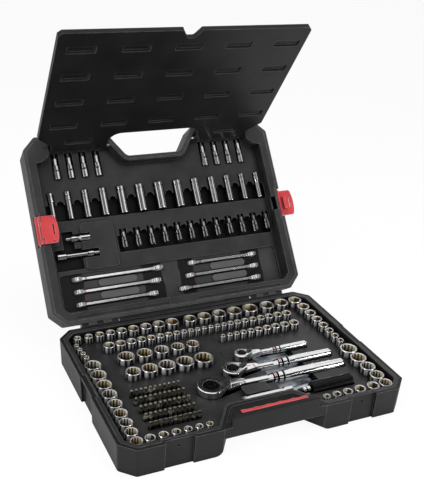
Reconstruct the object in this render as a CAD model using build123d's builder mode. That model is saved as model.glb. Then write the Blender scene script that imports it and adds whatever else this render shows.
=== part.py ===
"""Socket wrench set in a carrying case, standing open.

The case has a base that lies flat, a lid that leans back on two pinned hinges and a thin flap that is
hinged at the lid's front edge and holds the lid's tools in. Millimetres, +Z up, X along the case's width,
the handle at -Y. The origin is the middle of the base's underside.
"""

import os
from math import cos, radians, sin, sqrt

from build123d import *

# Case
case_width = 470.0
case_depth = 330.0
base_height = 46.0
lid_height = 46.0
corner_cut = 22.0
corner_round = 7.0
wall = 3.5
wall_draft = 2.0
floor_thickness = 3.5
mating_gap = 0.4
fit_gap = 0.4

# Trays
tray_wall = 2.5
tray_flange = 3.0
base_rim = 12.0
base_deck_depth = 14.0
lid_rim = 19.0
lid_front_rim = 11.0
lid_deck_depth = 20.0
well_wall = 2.0
well_gap = 0.4

# Carrying handle
handle_depth = 47.0
handle_inner_half = 52.0
handle_outer_half = 84.0
handle_wall = 6.0
handle_corner = 12.0
bar_depth = 13.5
bar_rise = 16.0
bar_drop = 17.0
bar_half = 76.0
bar_round = 3.5
bar_front_set = 1.0
grip_half = 54.0
grip_front = 7.0
grip_waves = 5
grip_wave_depth = 1.4

# Front panels
panel_centre = 150.0
panel_width = 44.0
panel_recess = 5.5
panel_hole = 2.0
panel_hole_height = 34.0
foot_round = 10.0
foot_spread = 24.0

# Case hinges
hinge_offset = 5.0
hinge_centre = 158.0
hinge_length = 64.0
knuckle_count = 5
knuckle_radius = 4.2
knuckle_gap = 0.4
pin_radius = 2.0
pin_fit = 0.06
hinge_web = 9.0
rail_gap = 3.0
lid_open_angle = 127.4
lid_panel_length = 330.0
lid_panel_width = 190.0
lid_panel_shift = 12.0
lid_panel_round = 14.0
lid_panel_depth = 1.2

# Flap
flap_axis_inset = 22.0
flap_axis_depth = 5.4
flap_open_angle = 107.2
flap_half = 213.0
flap_length = 287.0
flap_thickness = 8.0
flap_cut_half = 85.5
flap_cut_length = 37.0
flap_cut_round = 22.0
flap_shoulder_length = 13.0
flap_slope_length = 23.0
flap_corner = 6.0
flap_shoulder = 187.0
flap_pin_radius = 2.5
flap_ear = 14.0
dimple_columns = 5
dimple_rows = 4
dimple_pitch_x = 88.0
dimple_pitch_y = 61.0
dimple_length = 46.0
dimple_width = 14.0
dimple_depth = 3.5
dimple_slope = 30.0
dimple_low = (141.0, 22.5)
dimple_from_edge = 36.5
dimple_shift = 3.0
thumb_half = 16.0
thumb_depth = 17.0
thumb_slope = 10.0
thumb_round = 5.0

# Latches
latch_width = 48.0
latch_length = 33.0
latch_thickness = 3.4
latch_offset = 5.6
latch_side_gap = 3.0
latch_recess = 6.4
lid_recess_height = 18.0
latch_block = 9.0
latch_axis_inset = 2.6
latch_axis_depth = 5.0
latch_knuckle = 3.2
latch_pin_radius = 1.5
latch_slot_length = 19.0
latch_slot_width = 2.4
latch_slot_from_end = 8.0
latch_bulge = 4.0
latch_step = 1.0
latch_pad_length = 6.0
latch_pad_width = 5.0
latch_groove = 3.0
hook_start = 10.0
hook_end = 15.0
hook_drop = 6.0
hook_width = 22.0
hook_room = 1.8
catch_depth = 5.0
catch_height = 4.0

# Sockets in the base
socket_top_drop = 2.0
short_socket = 25.0
tall_socket = 37.0
edge_column_x = 206.0
back_row_y = 140.0
front_row_y = -141.0
middle_row_y = 103.0
inner_row_y = 69.0
large_rear_y = 63.0
large_front_y = 19.0
small_drive_end = 11.0
mid_drive_end = 16.5
large_drive_end = 20.0
socket_bevel = 0.7
bore_share = 0.86
bore_depth_share = 0.46

# Bits
bit_flats = 6.0
bit_length = 26.0
bit_shank = 19.0
bit_columns = 11
bit_rows = 5
bit_pitch_x = 7.5
bit_pitch_y = 20.0
bit_centre = (-135.5, -69.0)

# Ratchets
ratchet_names = ["quarter", "three_eighths", "half"]
ratchet_heads = {"quarter": (30.0, 11.0), "three_eighths": (-3.0, -24.0), "half": (-55.0, -56.0)}
ratchet_reach = {"quarter": 121.0, "three_eighths": 180.0, "half": 237.0}
head_radius = {"quarter": 12.5, "three_eighths": 16.5, "half": 21.5}
head_thickness = {"quarter": 15.0, "three_eighths": 19.0, "half": 23.0}
neck_run = {"quarter": 30.0, "three_eighths": 40.0, "half": 52.0}
neck_reach = {"quarter": 56.0, "three_eighths": 79.0, "half": 105.0}
ring_width = {"quarter": 2.4, "three_eighths": 3.4, "half": 3.5}
neck_radius = {"quarter": 4.4, "three_eighths": 5.6, "half": 7.0}
grip_radius = {"quarter": 6.0, "three_eighths": 8.0, "half": 9.2}
quarter_square = 6.3
three_eighths_square = 9.5
half_square = 12.7
drive_square = {"quarter": quarter_square, "three_eighths": three_eighths_square, "half": half_square}
ratchet_top_drop = 2.0
ratchet_lid_share = 0.60
ratchet_wheel_share = 0.70
ratchet_roof = 3.6
throat_share = 0.55
neck_plate_share = 0.62
cover_thickness = 1.8
running_gap = 0.3
wheel_teeth = 30
pawl_share = 0.20
cover_lap = 1.2
lever_angle = 20.0
button_share = 0.30
button_rise = 0.8
button_travel = 1.6
button_depth = 4.0
lever_height = 2.2

# Extension bar and spinner handle
bar_row_y = -102.5
extension_start = -25.0
extension_end = 60.0
extension_radius = 4.6
extension_end_radius = 5.8
cradle_wall = 1.2
cradle_drop = 2.2
island_centre = (9.0, -80.5)
island_length = 42.0
island_width = 22.0
island_rise = 8.0
island_round = 3.0
mark_centre = (5.5, 24.5)
mark_length = 33.0
mark_width = 3.4
mark_depth = 1.2
spinner_start = 72.0
spinner_shank = 22.0
spinner_end = 167.0
spinner_radius = 11.5
spinner_flutes = 6
spinner_flute_radius = 3.0
finger_trough_centre = 85.0
finger_trough_width = 70.0
finger_trough_depth = 14.5
finger_trough_front = -108.0

# Tools in the lid
deep_count = 13
deep_length = 49.0
deep_row_y = 213.5
deep_first_x = -198.0
deep_last_x = 202.0
deep_small = 9.0
deep_large = 18.0
deep_collar = 5.0
deep_groove = 2.2
deep_groove_depth = 0.6
bit_socket_length = 47.0
bit_socket_body = 25.0
bit_socket_radius = 6.2
bit_blade_radius = 3.4
bit_socket_pitch = 25.0
bit_socket_count = 4
bit_socket_x = 141.0
bit_socket_y = 284.5
short_bit_length = 34.0
short_bit_body = 19.0
short_bit_count = 12
short_bit_first_x = -81.0
short_bit_last_x = 204.0
short_bit_y = 143.5
adapter_centre = (-163.5, 154.0)
adapter_length = 43.0
holder_centre = (-168.0, 125.0)
holder_length = 74.0
accessory_radius = 6.5
wrench_rows = [82.0, 60.0, 38.0]
wrench_left_lengths = [168.0, 160.0, 150.0]
wrench_right_lengths = [138.0, 147.0, 164.0]
wrench_left_start = -187.0
wrench_right_end = 167.0
wrench_head_share = 0.066
wrench_web = 4.0
wrench_head_thickness = 6.4
wrench_slot = 9.0
label_length = 70.0
label_width = 12.0
label_height = 2.6
label_x = 106.0
trench_depth = 11.0
trench_scallop = 6.5
deep_trench_y = (186.0, 216.0)
short_trench_y = (119.0, 149.0)
trench_reach = 12.0
pad_width = 7.0
pad_length = 9.0
pad_from_end = 9.0
platform_x = (-157.0, -98.0)
platform_y = (96.0, 179.0)
platform_rise = 3.0
platform_round = 7.0
side_trench_x = (-209.0, -160.0)
side_trench_y = (99.0, 136.0)
adapter_trench_x = (-191.0, -171.0)
adapter_trench_y = (134.0, 167.0)
side_trench_depth = 9.0
wrench_bed_half = 208.0
wrench_bed_y = (28.0, 92.0)
wrench_bed_depth = 4.0
wrench_bed_round = 8.0
latch_ledge_x = (-218.0, -199.0)
latch_ledge_y = (142.0, 184.0)
latch_ledge_depth = 10.4
latch_ledge_round = 6.0
rim_groove_y = 15.0
rim_groove_x = 111.0
rim_groove_length = 166.0
rim_groove_width = 5.0
rim_groove_depth = 1.8
boss_edge = 191.0
boss_back = 285.0
boss_slope = 16.0
boss_round = 9.0
post_places = [(-195.0, 98.0), (195.0, 98.0), (-195.0, 255.0), (195.0, 255.0), (0.0, 120.0), (0.0, 255.0)]
post_radius = 5.0

# Derived sizes
half_width = case_width / 2
half_depth = case_depth / 2
deck_z = base_height - base_deck_depth
socket_top = base_height - socket_top_drop
hinge_y = half_depth + hinge_offset
lid_mid = hinge_offset + half_depth
lid_front = hinge_offset + case_depth
lid_deck = -lid_deck_depth
flap_axis_y = lid_front - flap_axis_inset
skin = wall + wall_draft
handle_slope = (handle_outer_half - handle_inner_half) / handle_depth
handle_stretch = sqrt(1 + handle_slope**2)
recess_width = latch_width + 2 * latch_side_gap

lid_turn = radians(lid_open_angle)
lid_plane = Plane(
    origin=(0, hinge_y, base_height),
    x_dir=(1, 0, 0),
    z_dir=(0, -sin(lid_turn), -cos(lid_turn)),
)
flap_turn = radians(flap_open_angle)
flap_run = lid_plane.z_dir * sin(flap_turn) - lid_plane.y_dir * cos(flap_turn)
flap_plane = Plane(
    origin=lid_plane.from_local_coords((0, flap_axis_y, -flap_axis_depth)),
    x_dir=(1, 0, 0),
    z_dir=Vector(1, 0, 0).cross(flap_run),
)

os.makedirs("parts", exist_ok=True)


def save(piece, name):
    """Label a finished piece and write it as its own file."""
    piece.label = name
    export_step(piece, f"parts/{name}.step")


def octagon(inset, middle=0.0):
    """Corner points of the case's outline, a distance inside its rim."""
    x = half_width - inset
    y = half_depth - inset
    cut = corner_cut - inset * (2 - sqrt(2))
    quarter = [(x, y - cut), (x - cut, y)]
    right = quarter + [(-a, b) for a, b in reversed(quarter)]
    ring = right + [(-a, -b) for a, b in right]
    return [(a, b + middle) for a, b in ring]


def handle_zone(margin, front, sign=1.0):
    """Corner points of the finger opening grown by a margin, on Y of the base or y of the lid.

    front is where the zone ends past the case's front edge, and sign is -1 for the lid, whose y runs the
    other way from the hinge axis.
    """
    inner = -half_depth + handle_depth + margin
    outer = -half_depth - front
    inner_half = handle_inner_half + margin * (handle_stretch - handle_slope)
    outer_half = handle_outer_half + margin * handle_stretch + front * handle_slope
    points = [(-outer_half, outer), (-inner_half, inner), (inner_half, inner), (outer_half, outer)]
    return points if sign > 0 else [(x, hinge_y - y) for x, y in points]


def handle_area(margin, front, sign=1.0):
    """The finger opening grown by a margin as a flat shape, with its two inner corners rounded."""
    with BuildSketch() as zone:
        Polygon(*handle_zone(margin, front, sign), align=None)
        ends = zone.vertices().group_by(Axis.Y)
        fillet(ends[-1] if sign > 0 else ends[0], handle_corner + margin)
    return zone.sketch


def graded(first, last, count):
    """Evenly graded sizes from the first to the last."""
    return [first + (last - first) * i / (count - 1) for i in range(count)]


def spread(start, end, sizes):
    """Centres along a line from start to end with equal gaps between round pieces of these sizes."""
    span = sqrt((end[0] - start[0]) ** 2 + (end[1] - start[1]) ** 2)
    steps = [(a + b) / 2 for a, b in zip(sizes, sizes[1:])]
    gap = (span - sum(steps)) / len(steps)
    places = [0.0]
    for step in steps:
        places.append(places[-1] + step + gap)
    return [
        (start[0] + (end[0] - start[0]) * p / span, start[1] + (end[1] - start[1]) * p / span)
        for p in places
    ]


def socket(mouth, drive_end, height, points, square):
    """One socket standing on its drive end: a wide or narrow mouth, a six or twelve point bore, a square."""
    mouth_r = mouth / 2
    drive_r = drive_end / 2
    bore_r = mouth_r * bore_share
    lead_r = min(mouth_r - socket_bevel, bore_r + 0.5)
    profile = [
        (0, 0),
        (drive_r - socket_bevel, 0),
        (drive_r, socket_bevel),
        (drive_r, height * 0.40),
        (mouth_r, height * 0.52),
        (mouth_r, height - socket_bevel),
        (mouth_r - socket_bevel / 2, height),
        (lead_r, height),
        (lead_r - socket_bevel, height - socket_bevel),
        (0, height - socket_bevel),
    ]
    with BuildPart() as one:
        with BuildSketch(Plane.XZ):
            with BuildLine():
                Polyline(*profile, close=True)
            make_face()
        revolve(axis=Axis.Z)
        with BuildSketch(Plane.XY.offset(height)):
            RegularPolygon(bore_r, 6)
            if points == 12:
                RegularPolygon(bore_r, 6, rotation=30)
        extrude(amount=-height * bore_depth_share, mode=Mode.SUBTRACT)
        with BuildSketch(Plane.XY):
            Rectangle(square, square)
        extrude(amount=height * 0.36, mode=Mode.SUBTRACT)
    return one.part


# Rows of base sockets: line ends, graded mouths, drive end, square, height and bore points
left_x = -edge_column_x
right_x = edge_column_x
row_line = {
    "sockets_back_left": ((left_x, back_row_y), (-39, back_row_y)),
    "sockets_back_right": ((-6, back_row_y), (111, back_row_y)),
    "sockets_back_corner": ((145, back_row_y), (203, back_row_y)),
    "sockets_right": ((right_x, 114), (right_x, -9)),
    "sockets_right_large": ((right_x - 1, -36), (right_x - 1, -141)),
    "sockets_front_right": ((182, front_row_y), (98, front_row_y)),
    "sockets_left_small": ((-214, 119), (-209, 80)),
    "sockets_left": ((left_x, 56), (left_x, -141)),
    "sockets_front_left": ((-186, front_row_y), (-96, front_row_y)),
    "sockets_middle": ((-164, middle_row_y), (165, middle_row_y)),
    "sockets_inner": ((24, inner_row_y), (161, inner_row_y)),
    "sockets_large_rear": ((-149, large_rear_y), (-34, large_rear_y)),
    "sockets_large_front": ((-153, large_front_y), (-34, large_front_y)),
}
row_mouths = {
    "sockets_back_left": graded(12.5, 23, 9),
    "sockets_back_right": graded(23, 28.5, 5),
    "sockets_back_corner": graded(27, 24, 3),
    "sockets_right": graded(22, 12.5, 7),
    "sockets_right_large": graded(28.5, 21, 5),
    "sockets_front_right": graded(20, 11.6, 5),
    "sockets_left_small": graded(8.5, 9.5, 4),
    "sockets_left": graded(26.5, 18.5, 9),
    "sockets_front_left": graded(15.6, 10.8, 6),
    "sockets_middle": graded(18.5, 9, 12) + graded(9.6, 17, 11),
    "sockets_inner": graded(9, 17.5, 10),
    "sockets_large_rear": graded(27.5, 21.5, 5),
    "sockets_large_front": graded(24.5, 31, 5),
}
tiny = (small_drive_end - 1.5, quarter_square, short_socket, 6)
small = (small_drive_end, quarter_square, short_socket, 6)
middle = (mid_drive_end, three_eighths_square, short_socket, 6)
ringed = (mid_drive_end, three_eighths_square, tall_socket, 12)
large = (large_drive_end, half_square, tall_socket, 12)
row_kind = {
    "sockets_back_left": middle,
    "sockets_back_right": middle,
    "sockets_back_corner": middle,
    "sockets_right": small,
    "sockets_right_large": large,
    "sockets_front_right": small,
    "sockets_left_small": tiny,
    "sockets_left": ringed,
    "sockets_front_left": small,
    "sockets_middle": small,
    "sockets_inner": small,
    "sockets_large_rear": large,
    "sockets_large_front": large,
}


def row_sizes(name):
    """Widest diameter of each socket in a row."""
    return [max(mouth, row_kind[name][0]) for mouth in row_mouths[name]]


def row_centres(name):
    """Where each socket of a row stands."""
    return spread(row_line[name][0], row_line[name][1], row_sizes(name))


# Finger openings of base and lid: clear of the hand, inside their own wall, and inside the tray's wall
past_front = 20.0
tray_margin = handle_wall + fit_gap
base_hole = handle_area(0, past_front)
base_hole_wall = handle_area(handle_wall, past_front)
base_tray_edge = handle_area(tray_margin, past_front)
base_tray_inside = handle_area(tray_margin + tray_wall, past_front)
lid_hole = handle_area(0, past_front, -1)
lid_hole_wall = handle_area(handle_wall, past_front, -1)
lid_tray_edge = handle_area(tray_margin, past_front, -1)
lid_tray_inside = handle_area(tray_margin + tray_wall, past_front, -1)

# Base shell: drafted walls, a finger opening under the handle bar, recessed panels, catches, knuckles, rail
panel_block = panel_recess + wall
foot_top = socket_top - short_socket - 2 * well_wall - 1.0
bar_front = -half_depth + bar_front_set
bar_inner = bar_front + bar_depth
bar_inner_half = bar_half - bar_depth * handle_slope
bar_root = 4.0
knuckle_pitch = hinge_length / knuckle_count
knuckle_length = knuckle_pitch - knuckle_gap
knuckle_bore = pin_radius + pin_fit
rail_half = hinge_centre - hinge_length / 2 - rail_gap
catch_x = half_width - latch_recess + catch_depth / 2 - 0.5


def knuckles(first):
    """Where every second knuckle of both hinges starts along X, beginning with this one."""
    ends = [side * hinge_centre - hinge_length / 2 + knuckle_gap / 2 for side in (-1, 1)]
    return [end + i * knuckle_pitch for end in ends for i in range(first, knuckle_count, 2)]


def bar_outline(half, inner_half):
    """Corner points of the handle bar seen from above."""
    return [(-half, bar_front), (-inner_half, bar_inner), (inner_half, bar_inner), (half, bar_front)]


with BuildPart() as base_shell:
    with BuildSketch(Plane.XY) as base_foot:
        Polygon(*octagon(wall_draft), align=None)
        fillet(base_foot.vertices(), corner_round)
    with BuildSketch(Plane.XY.offset(base_height)) as base_top:
        Polygon(*octagon(0), align=None)
        fillet(base_top.vertices(), corner_round)
    loft()
    with BuildSketch(Plane.XY.offset(floor_thickness)) as base_cavity:
        Polygon(*octagon(skin), align=None)
        fillet(base_cavity.vertices(), corner_round - 2)
        add(base_hole_wall, mode=Mode.SUBTRACT)
        with Locations((-half_width, 0), (half_width, 0)):
            Rectangle(2 * latch_block, recess_width + 2 * wall, mode=Mode.SUBTRACT)
        with Locations((-panel_centre, -half_depth), (panel_centre, -half_depth)):
            Rectangle(panel_width + 2 * wall, 2 * panel_block, mode=Mode.SUBTRACT)
    extrude(amount=base_height, mode=Mode.SUBTRACT)
    with BuildSketch(Plane.XY.offset(floor_thickness / 2)):
        Polygon(*octagon(skin - 1), align=None)
        Polygon(*handle_zone(foot_spread, past_front), align=None, mode=Mode.INTERSECT)
    extrude(amount=foot_top - floor_thickness / 2)
    with BuildSketch(Plane.XY):
        add(base_hole)
    extrude(amount=base_height + 1, mode=Mode.SUBTRACT)
    sole = base_shell.edges().group_by(Axis.Z)[0]
    hole_back = -half_depth + handle_depth + 1
    fillet(
        [
            edge
            for edge in sole
            if abs(edge.center().X) < handle_outer_half and -half_depth + 4 < edge.center().Y < hole_back
        ],
        foot_round,
    )
    with BuildSketch(Plane.XY.offset(base_height - bar_drop)):
        Polygon(
            *bar_outline(
                handle_outer_half + bar_root, handle_outer_half + bar_root - bar_depth * handle_slope
            ),
            align=None,
        )
    extrude(amount=bar_drop)
    with BuildSketch(Plane.XY.offset(base_height - 1)) as bar_top:
        Polygon(*bar_outline(bar_half, bar_inner_half), align=None)
        fillet(bar_top.vertices(), bar_round)
    extrude(amount=bar_rise + 1)
    fillet(base_shell.edges().group_by(Axis.Z)[-1], bar_round - 0.5)
    with BuildSketch(Plane.XY.offset(base_height - bar_drop - 1)):
        with Locations((0, bar_front + grip_front + bar_depth / 2)):
            Rectangle(2 * grip_half, bar_depth)
    extrude(amount=bar_drop + bar_rise + 2, mode=Mode.SUBTRACT)
    with BuildSketch(Plane.XY.offset(-1)):
        with Locations((-half_width, 0), (half_width, 0)):
            Rectangle(2 * latch_recess, recess_width)
    extrude(amount=base_height + 2, mode=Mode.SUBTRACT)
    with BuildSketch(Plane.XY.offset(base_height - catch_height)):
        with Locations((-catch_x, 0), (catch_x, 0)):
            Rectangle(catch_depth + 1, recess_width)
    extrude(amount=catch_height)
    with BuildSketch(Plane.XY.offset(-1)):
        with Locations((-panel_centre, -half_depth), (panel_centre, -half_depth)):
            Rectangle(panel_width, 2 * panel_recess)
    extrude(amount=base_height + 2, mode=Mode.SUBTRACT)
    with BuildSketch(Plane.XZ.offset(half_depth - panel_block - 1)):
        with Locations((-panel_centre, panel_hole_height), (panel_centre, panel_hole_height)):
            Circle(panel_hole)
    extrude(amount=panel_block, mode=Mode.SUBTRACT)
    for start, length in [(start, knuckle_length) for start in knuckles(0)] + [(-rail_half, 2 * rail_half)]:
        with BuildSketch(Plane.YZ.offset(start)):
            with Locations((hinge_y, base_height)):
                Circle(knuckle_radius)
            Polygon(
                (half_depth - wall, base_height - hinge_web),
                (half_depth - wall, base_height),
                (hinge_y, base_height),
                (hinge_y, base_height - knuckle_radius),
                align=None,
            )
        extrude(amount=length)
    with BuildSketch(Plane.YZ.offset(-half_width)):
        with Locations((hinge_y, base_height)):
            Circle(knuckle_bore)
    extrude(amount=case_width, mode=Mode.SUBTRACT)

save(base_shell.part, "base_shell")


# Red grip let into the handle bar, waved on the finger side
grip_top = base_height + bar_rise + 0.8
grip_bottom = base_height - bar_drop + 0.5
grip_y = bar_front + grip_front
wave_length = 2 * (grip_half - 4) / grip_waves
wave_radius = (wave_length / 2) ** 2 / (2 * grip_wave_depth) + grip_wave_depth / 2

with BuildPart() as grip_insert:
    with BuildSketch(Plane.XY.offset(grip_bottom)):
        with Locations((0, (grip_y + bar_inner) / 2)):
            Rectangle(2 * grip_half - 0.4, bar_inner - grip_y)
        with Locations((0, bar_inner + wave_radius - grip_wave_depth)):
            with GridLocations(wave_length, 1, grip_waves, 1):
                Circle(wave_radius, mode=Mode.SUBTRACT)
    extrude(amount=grip_top - grip_bottom)

save(grip_insert.part, "grip_insert")


# Hinge pins with round heads
with BuildPart() as hinge_pins:
    for side in (-1, 1):
        with BuildSketch(Plane.YZ.offset(side * hinge_centre - hinge_length / 2 - 1)):
            with Locations((hinge_y, base_height)):
                Circle(pin_radius)
        extrude(amount=hinge_length + 2)
        with BuildSketch(Plane.YZ.offset(side * hinge_centre - hinge_length / 2 - 2)):
            with Locations((hinge_y, base_height)):
                Circle(pin_radius + 1)
        extrude(amount=1.6)
        with BuildSketch(Plane.YZ.offset(side * hinge_centre + hinge_length / 2 + 0.4)):
            with Locations((hinge_y, base_height)):
                Circle(pin_radius + 1)
        extrude(amount=1.6)

save(hinge_pins.part, "hinge_pins")


# Places of the base's loose tools
ratchet_top = base_height - ratchet_top_drop


def ratchet_bottom(name):
    """Height of a ratchet head's underside."""
    return ratchet_top - head_thickness[name]


def ratchet_axis(name):
    """Height of a ratchet's handle axis."""
    return ratchet_top - head_thickness[name] / 2


def drive_length(name):
    """How far a ratchet's drive square stands out."""
    return 0.95 * drive_square[name]


spinner_z = ratchet_top - spinner_radius
extension_z = base_height - extension_end_radius
bit_floor = socket_top - bit_length
tool_room = 1.0


def row_box(name):
    """Middle and size of the rectangle round a row of sockets."""
    reach = [size / 2 + well_gap + well_wall for size in row_sizes(name)]
    xs = [x + side * r for (x, y), r in zip(row_centres(name), reach) for side in (-1, 1)]
    ys = [y + side * r for (x, y), r in zip(row_centres(name), reach) for side in (-1, 1)]
    middle_point = ((min(xs) + max(xs)) / 2, (min(ys) + max(ys)) / 2)
    return middle_point, max(xs) - min(xs), max(ys) - min(ys)


def well_bottom(floor):
    """Height of a well's underside, which stands on the shell's floor where the well is deep."""
    return floor_thickness if floor - well_wall < floor_thickness + 2.5 else floor - well_wall


def ratchet_outline(name, margin):
    """Draw a ratchet's outline from above, grown by a margin, in the current sketch."""
    x, y = ratchet_heads[name]
    reach = ratchet_reach[name] + margin
    with Locations((x, y)):
        Circle(head_radius[name] + margin)
    with Locations((x + head_radius[name], y)):
        Circle(throat_share * head_radius[name] + margin)
    with Locations((x + neck_run[name], y)):
        Circle(grip_radius[name] + margin)
    make_hull()
    with Locations((x + reach / 2, y)):
        Rectangle(reach, 2 * (grip_radius[name] + margin))


# Base tray: a sunk deck with a well under every socket row, a bed for each tool and slots for the bits
deck_under = deck_z - tray_wall

with BuildPart() as base_tray:
    with BuildSketch(Plane.XY.offset(deck_under)):
        Polygon(*octagon(base_rim - tray_wall), align=None)
        add(base_tray_edge, mode=Mode.SUBTRACT)
    extrude(amount=base_deck_depth + tray_wall)
    with BuildSketch(Plane.XY.offset(deck_z)):
        Polygon(*octagon(base_rim), align=None)
        add(base_tray_inside, mode=Mode.SUBTRACT)
    extrude(amount=base_deck_depth + 1, mode=Mode.SUBTRACT)
    with BuildSketch(Plane.XY.offset(base_height - tray_flange)) as base_flange:
        Polygon(*octagon(skin + fit_gap), align=None)
        fillet(base_flange.vertices(), corner_round - 2)
        Polygon(*octagon(base_rim), align=None, mode=Mode.SUBTRACT)
        add(base_tray_edge, mode=Mode.SUBTRACT)
        with Locations((-half_width, 0), (half_width, 0)):
            Rectangle(2 * (latch_block + fit_gap), recess_width + 2 * (wall + fit_gap), mode=Mode.SUBTRACT)
        with Locations((-panel_centre, -half_depth), (panel_centre, -half_depth)):
            Rectangle(panel_width + 2 * (wall + fit_gap), 2 * (panel_block + fit_gap), mode=Mode.SUBTRACT)
    extrude(amount=tray_flange)
    for height in (short_socket, tall_socket):
        low = well_bottom(socket_top - height)
        with BuildSketch(Plane.XY.offset(low)):
            for name in row_line:
                if row_kind[name][2] == height:
                    middle_point, size_x, size_y = row_box(name)
                    with Locations(middle_point):
                        Rectangle(size_x, size_y)
            Polygon(*octagon(skin + fit_gap), align=None, mode=Mode.INTERSECT)
        extrude(amount=deck_z - 1 - low)
    for name in ratchet_names:
        low = ratchet_bottom(name) - well_wall
        with BuildSketch(Plane.XY.offset(low)):
            ratchet_outline(name, tool_room + well_wall)
        extrude(amount=deck_z - 1 - low)
        low = ratchet_bottom(name) - drive_length(name) - tool_room - well_wall
        with BuildSketch(Plane.XY.offset(low)):
            with Locations(ratchet_heads[name]):
                Circle(0.62 * head_radius[name] + well_wall)
        extrude(amount=deck_z - 1 - low)
    with BuildSketch(Plane.XY.offset(spinner_z - spinner_radius - well_wall)):
        with Locations(((spinner_start + spinner_end) / 2, bar_row_y)):
            Rectangle(spinner_end - spinner_start + 2 * (tool_room + well_wall), 2 * (spinner_radius + 3))
    extrude(amount=deck_z - 1 - spinner_z + spinner_radius + well_wall)
    with BuildSketch(Plane.XY.offset(bit_floor - well_wall)):
        with Locations(bit_centre):
            with GridLocations(1, bit_pitch_y, 1, bit_rows):
                Rectangle(bit_columns * bit_pitch_x + 2 * well_wall, bit_flats + 2 + 2 * well_wall)
    extrude(amount=deck_z - 1 - bit_floor + well_wall)
    trough_floor = deck_z - finger_trough_depth
    trough_back = ratchet_heads["quarter"][1] + head_radius["quarter"]
    trough_y = (finger_trough_front + trough_back) / 2
    trough_length = trough_back - finger_trough_front
    with BuildSketch(Plane.XY.offset(trough_floor - well_wall)):
        with Locations((finger_trough_centre, trough_y)):
            Rectangle(finger_trough_width + 2 * well_wall, trough_length + 2 * well_wall)
    extrude(amount=deck_z - 1 - trough_floor + well_wall)
    cradle_width = 2 * (extension_end_radius + cradle_wall)
    with BuildSketch(Plane.XY.offset(deck_z - 1)):
        with Locations(((extension_start + extension_end) / 2, bar_row_y)):
            Rectangle(extension_end - extension_start + 2 * (tool_room + cradle_wall), cradle_width)
        add(base_tray_edge, mode=Mode.SUBTRACT)
    extrude(amount=extension_z - cradle_drop - deck_z + 1)
    with BuildSketch(Plane.XY.offset(deck_z - 1)) as island:
        with Locations(island_centre):
            Rectangle(island_length, island_width)
        fillet(island.vertices(), island_round)
    extrude(amount=island_rise + 1)
    for height in (short_socket, tall_socket):
        with BuildSketch(Plane.XY.offset(socket_top - height)):
            for name in row_line:
                if row_kind[name][2] == height:
                    for centre, size in zip(row_centres(name), row_sizes(name)):
                        with Locations(centre):
                            Circle(size / 2 + well_gap)
        extrude(amount=base_height, mode=Mode.SUBTRACT)
    for name in ratchet_names:
        with BuildSketch(Plane.XY.offset(ratchet_bottom(name))):
            ratchet_outline(name, tool_room)
        extrude(amount=base_height, mode=Mode.SUBTRACT)
        with BuildSketch(Plane.XY.offset(ratchet_bottom(name) - drive_length(name) - tool_room)):
            with Locations(ratchet_heads[name]):
                Circle(0.62 * head_radius[name])
        extrude(amount=base_height, mode=Mode.SUBTRACT)
    with BuildSketch(Plane.XY.offset(spinner_z - spinner_radius)):
        with Locations(((spinner_start + spinner_end) / 2, bar_row_y)):
            Rectangle(spinner_end - spinner_start + 2 * tool_room, 2 * (spinner_radius + tool_room))
    extrude(amount=base_height, mode=Mode.SUBTRACT)
    with BuildSketch(Plane.XY.offset(extension_z - extension_end_radius)):
        with Locations(((extension_start + extension_end) / 2, bar_row_y)):
            Rectangle(extension_end - extension_start + 2 * tool_room, 2 * extension_end_radius)
    extrude(amount=base_height, mode=Mode.SUBTRACT)
    with BuildSketch(Plane.XY.offset(bit_floor)):
        with Locations(bit_centre):
            with GridLocations(1, bit_pitch_y, 1, bit_rows):
                Rectangle(bit_columns * bit_pitch_x, bit_flats + 2)
    extrude(amount=base_height, mode=Mode.SUBTRACT)
    with BuildSketch(Plane.XY.offset(trough_floor)):
        with Locations((finger_trough_centre, trough_y)):
            Rectangle(finger_trough_width, trough_length)
    extrude(amount=base_height, mode=Mode.SUBTRACT)
    with BuildSketch(Plane.XY.offset(deck_z - mark_depth)):
        with Locations(mark_centre):
            SlotOverall(mark_length, mark_width, rotation=90)
    extrude(amount=mark_depth + 1, mode=Mode.SUBTRACT)

save(base_tray.part, "base_tray")


# Sockets of the base, each row one group of separate pieces
for name in row_line:
    drive_end, square, height, points = row_kind[name]
    pieces = [socket(mouth, drive_end, height, points, square) for mouth in row_mouths[name]]
    with BuildPart() as row:
        for centre, piece in zip(row_centres(name), pieces):
            with Locations((centre[0], centre[1], socket_top - height)):
                add(piece)
    save(row.part, name)


# Bits: hexagon shanks in five slots, each slot with its own kind of tip
def bit_tip(kind):
    """Draw one bit's tip in the current sketch: blade, cross, hexagon, star or square."""
    if kind == 0:
        Rectangle(4.8, 1.2)
    elif kind == 1:
        Rectangle(4.4, 1.3)
        Rectangle(1.3, 4.4)
    elif kind == 2:
        RegularPolygon(2.3, 6)
    elif kind == 3:
        RegularPolygon(2.4, 3)
        RegularPolygon(2.4, 3, rotation=180)
    else:
        Rectangle(3.2, 3.2)


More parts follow.
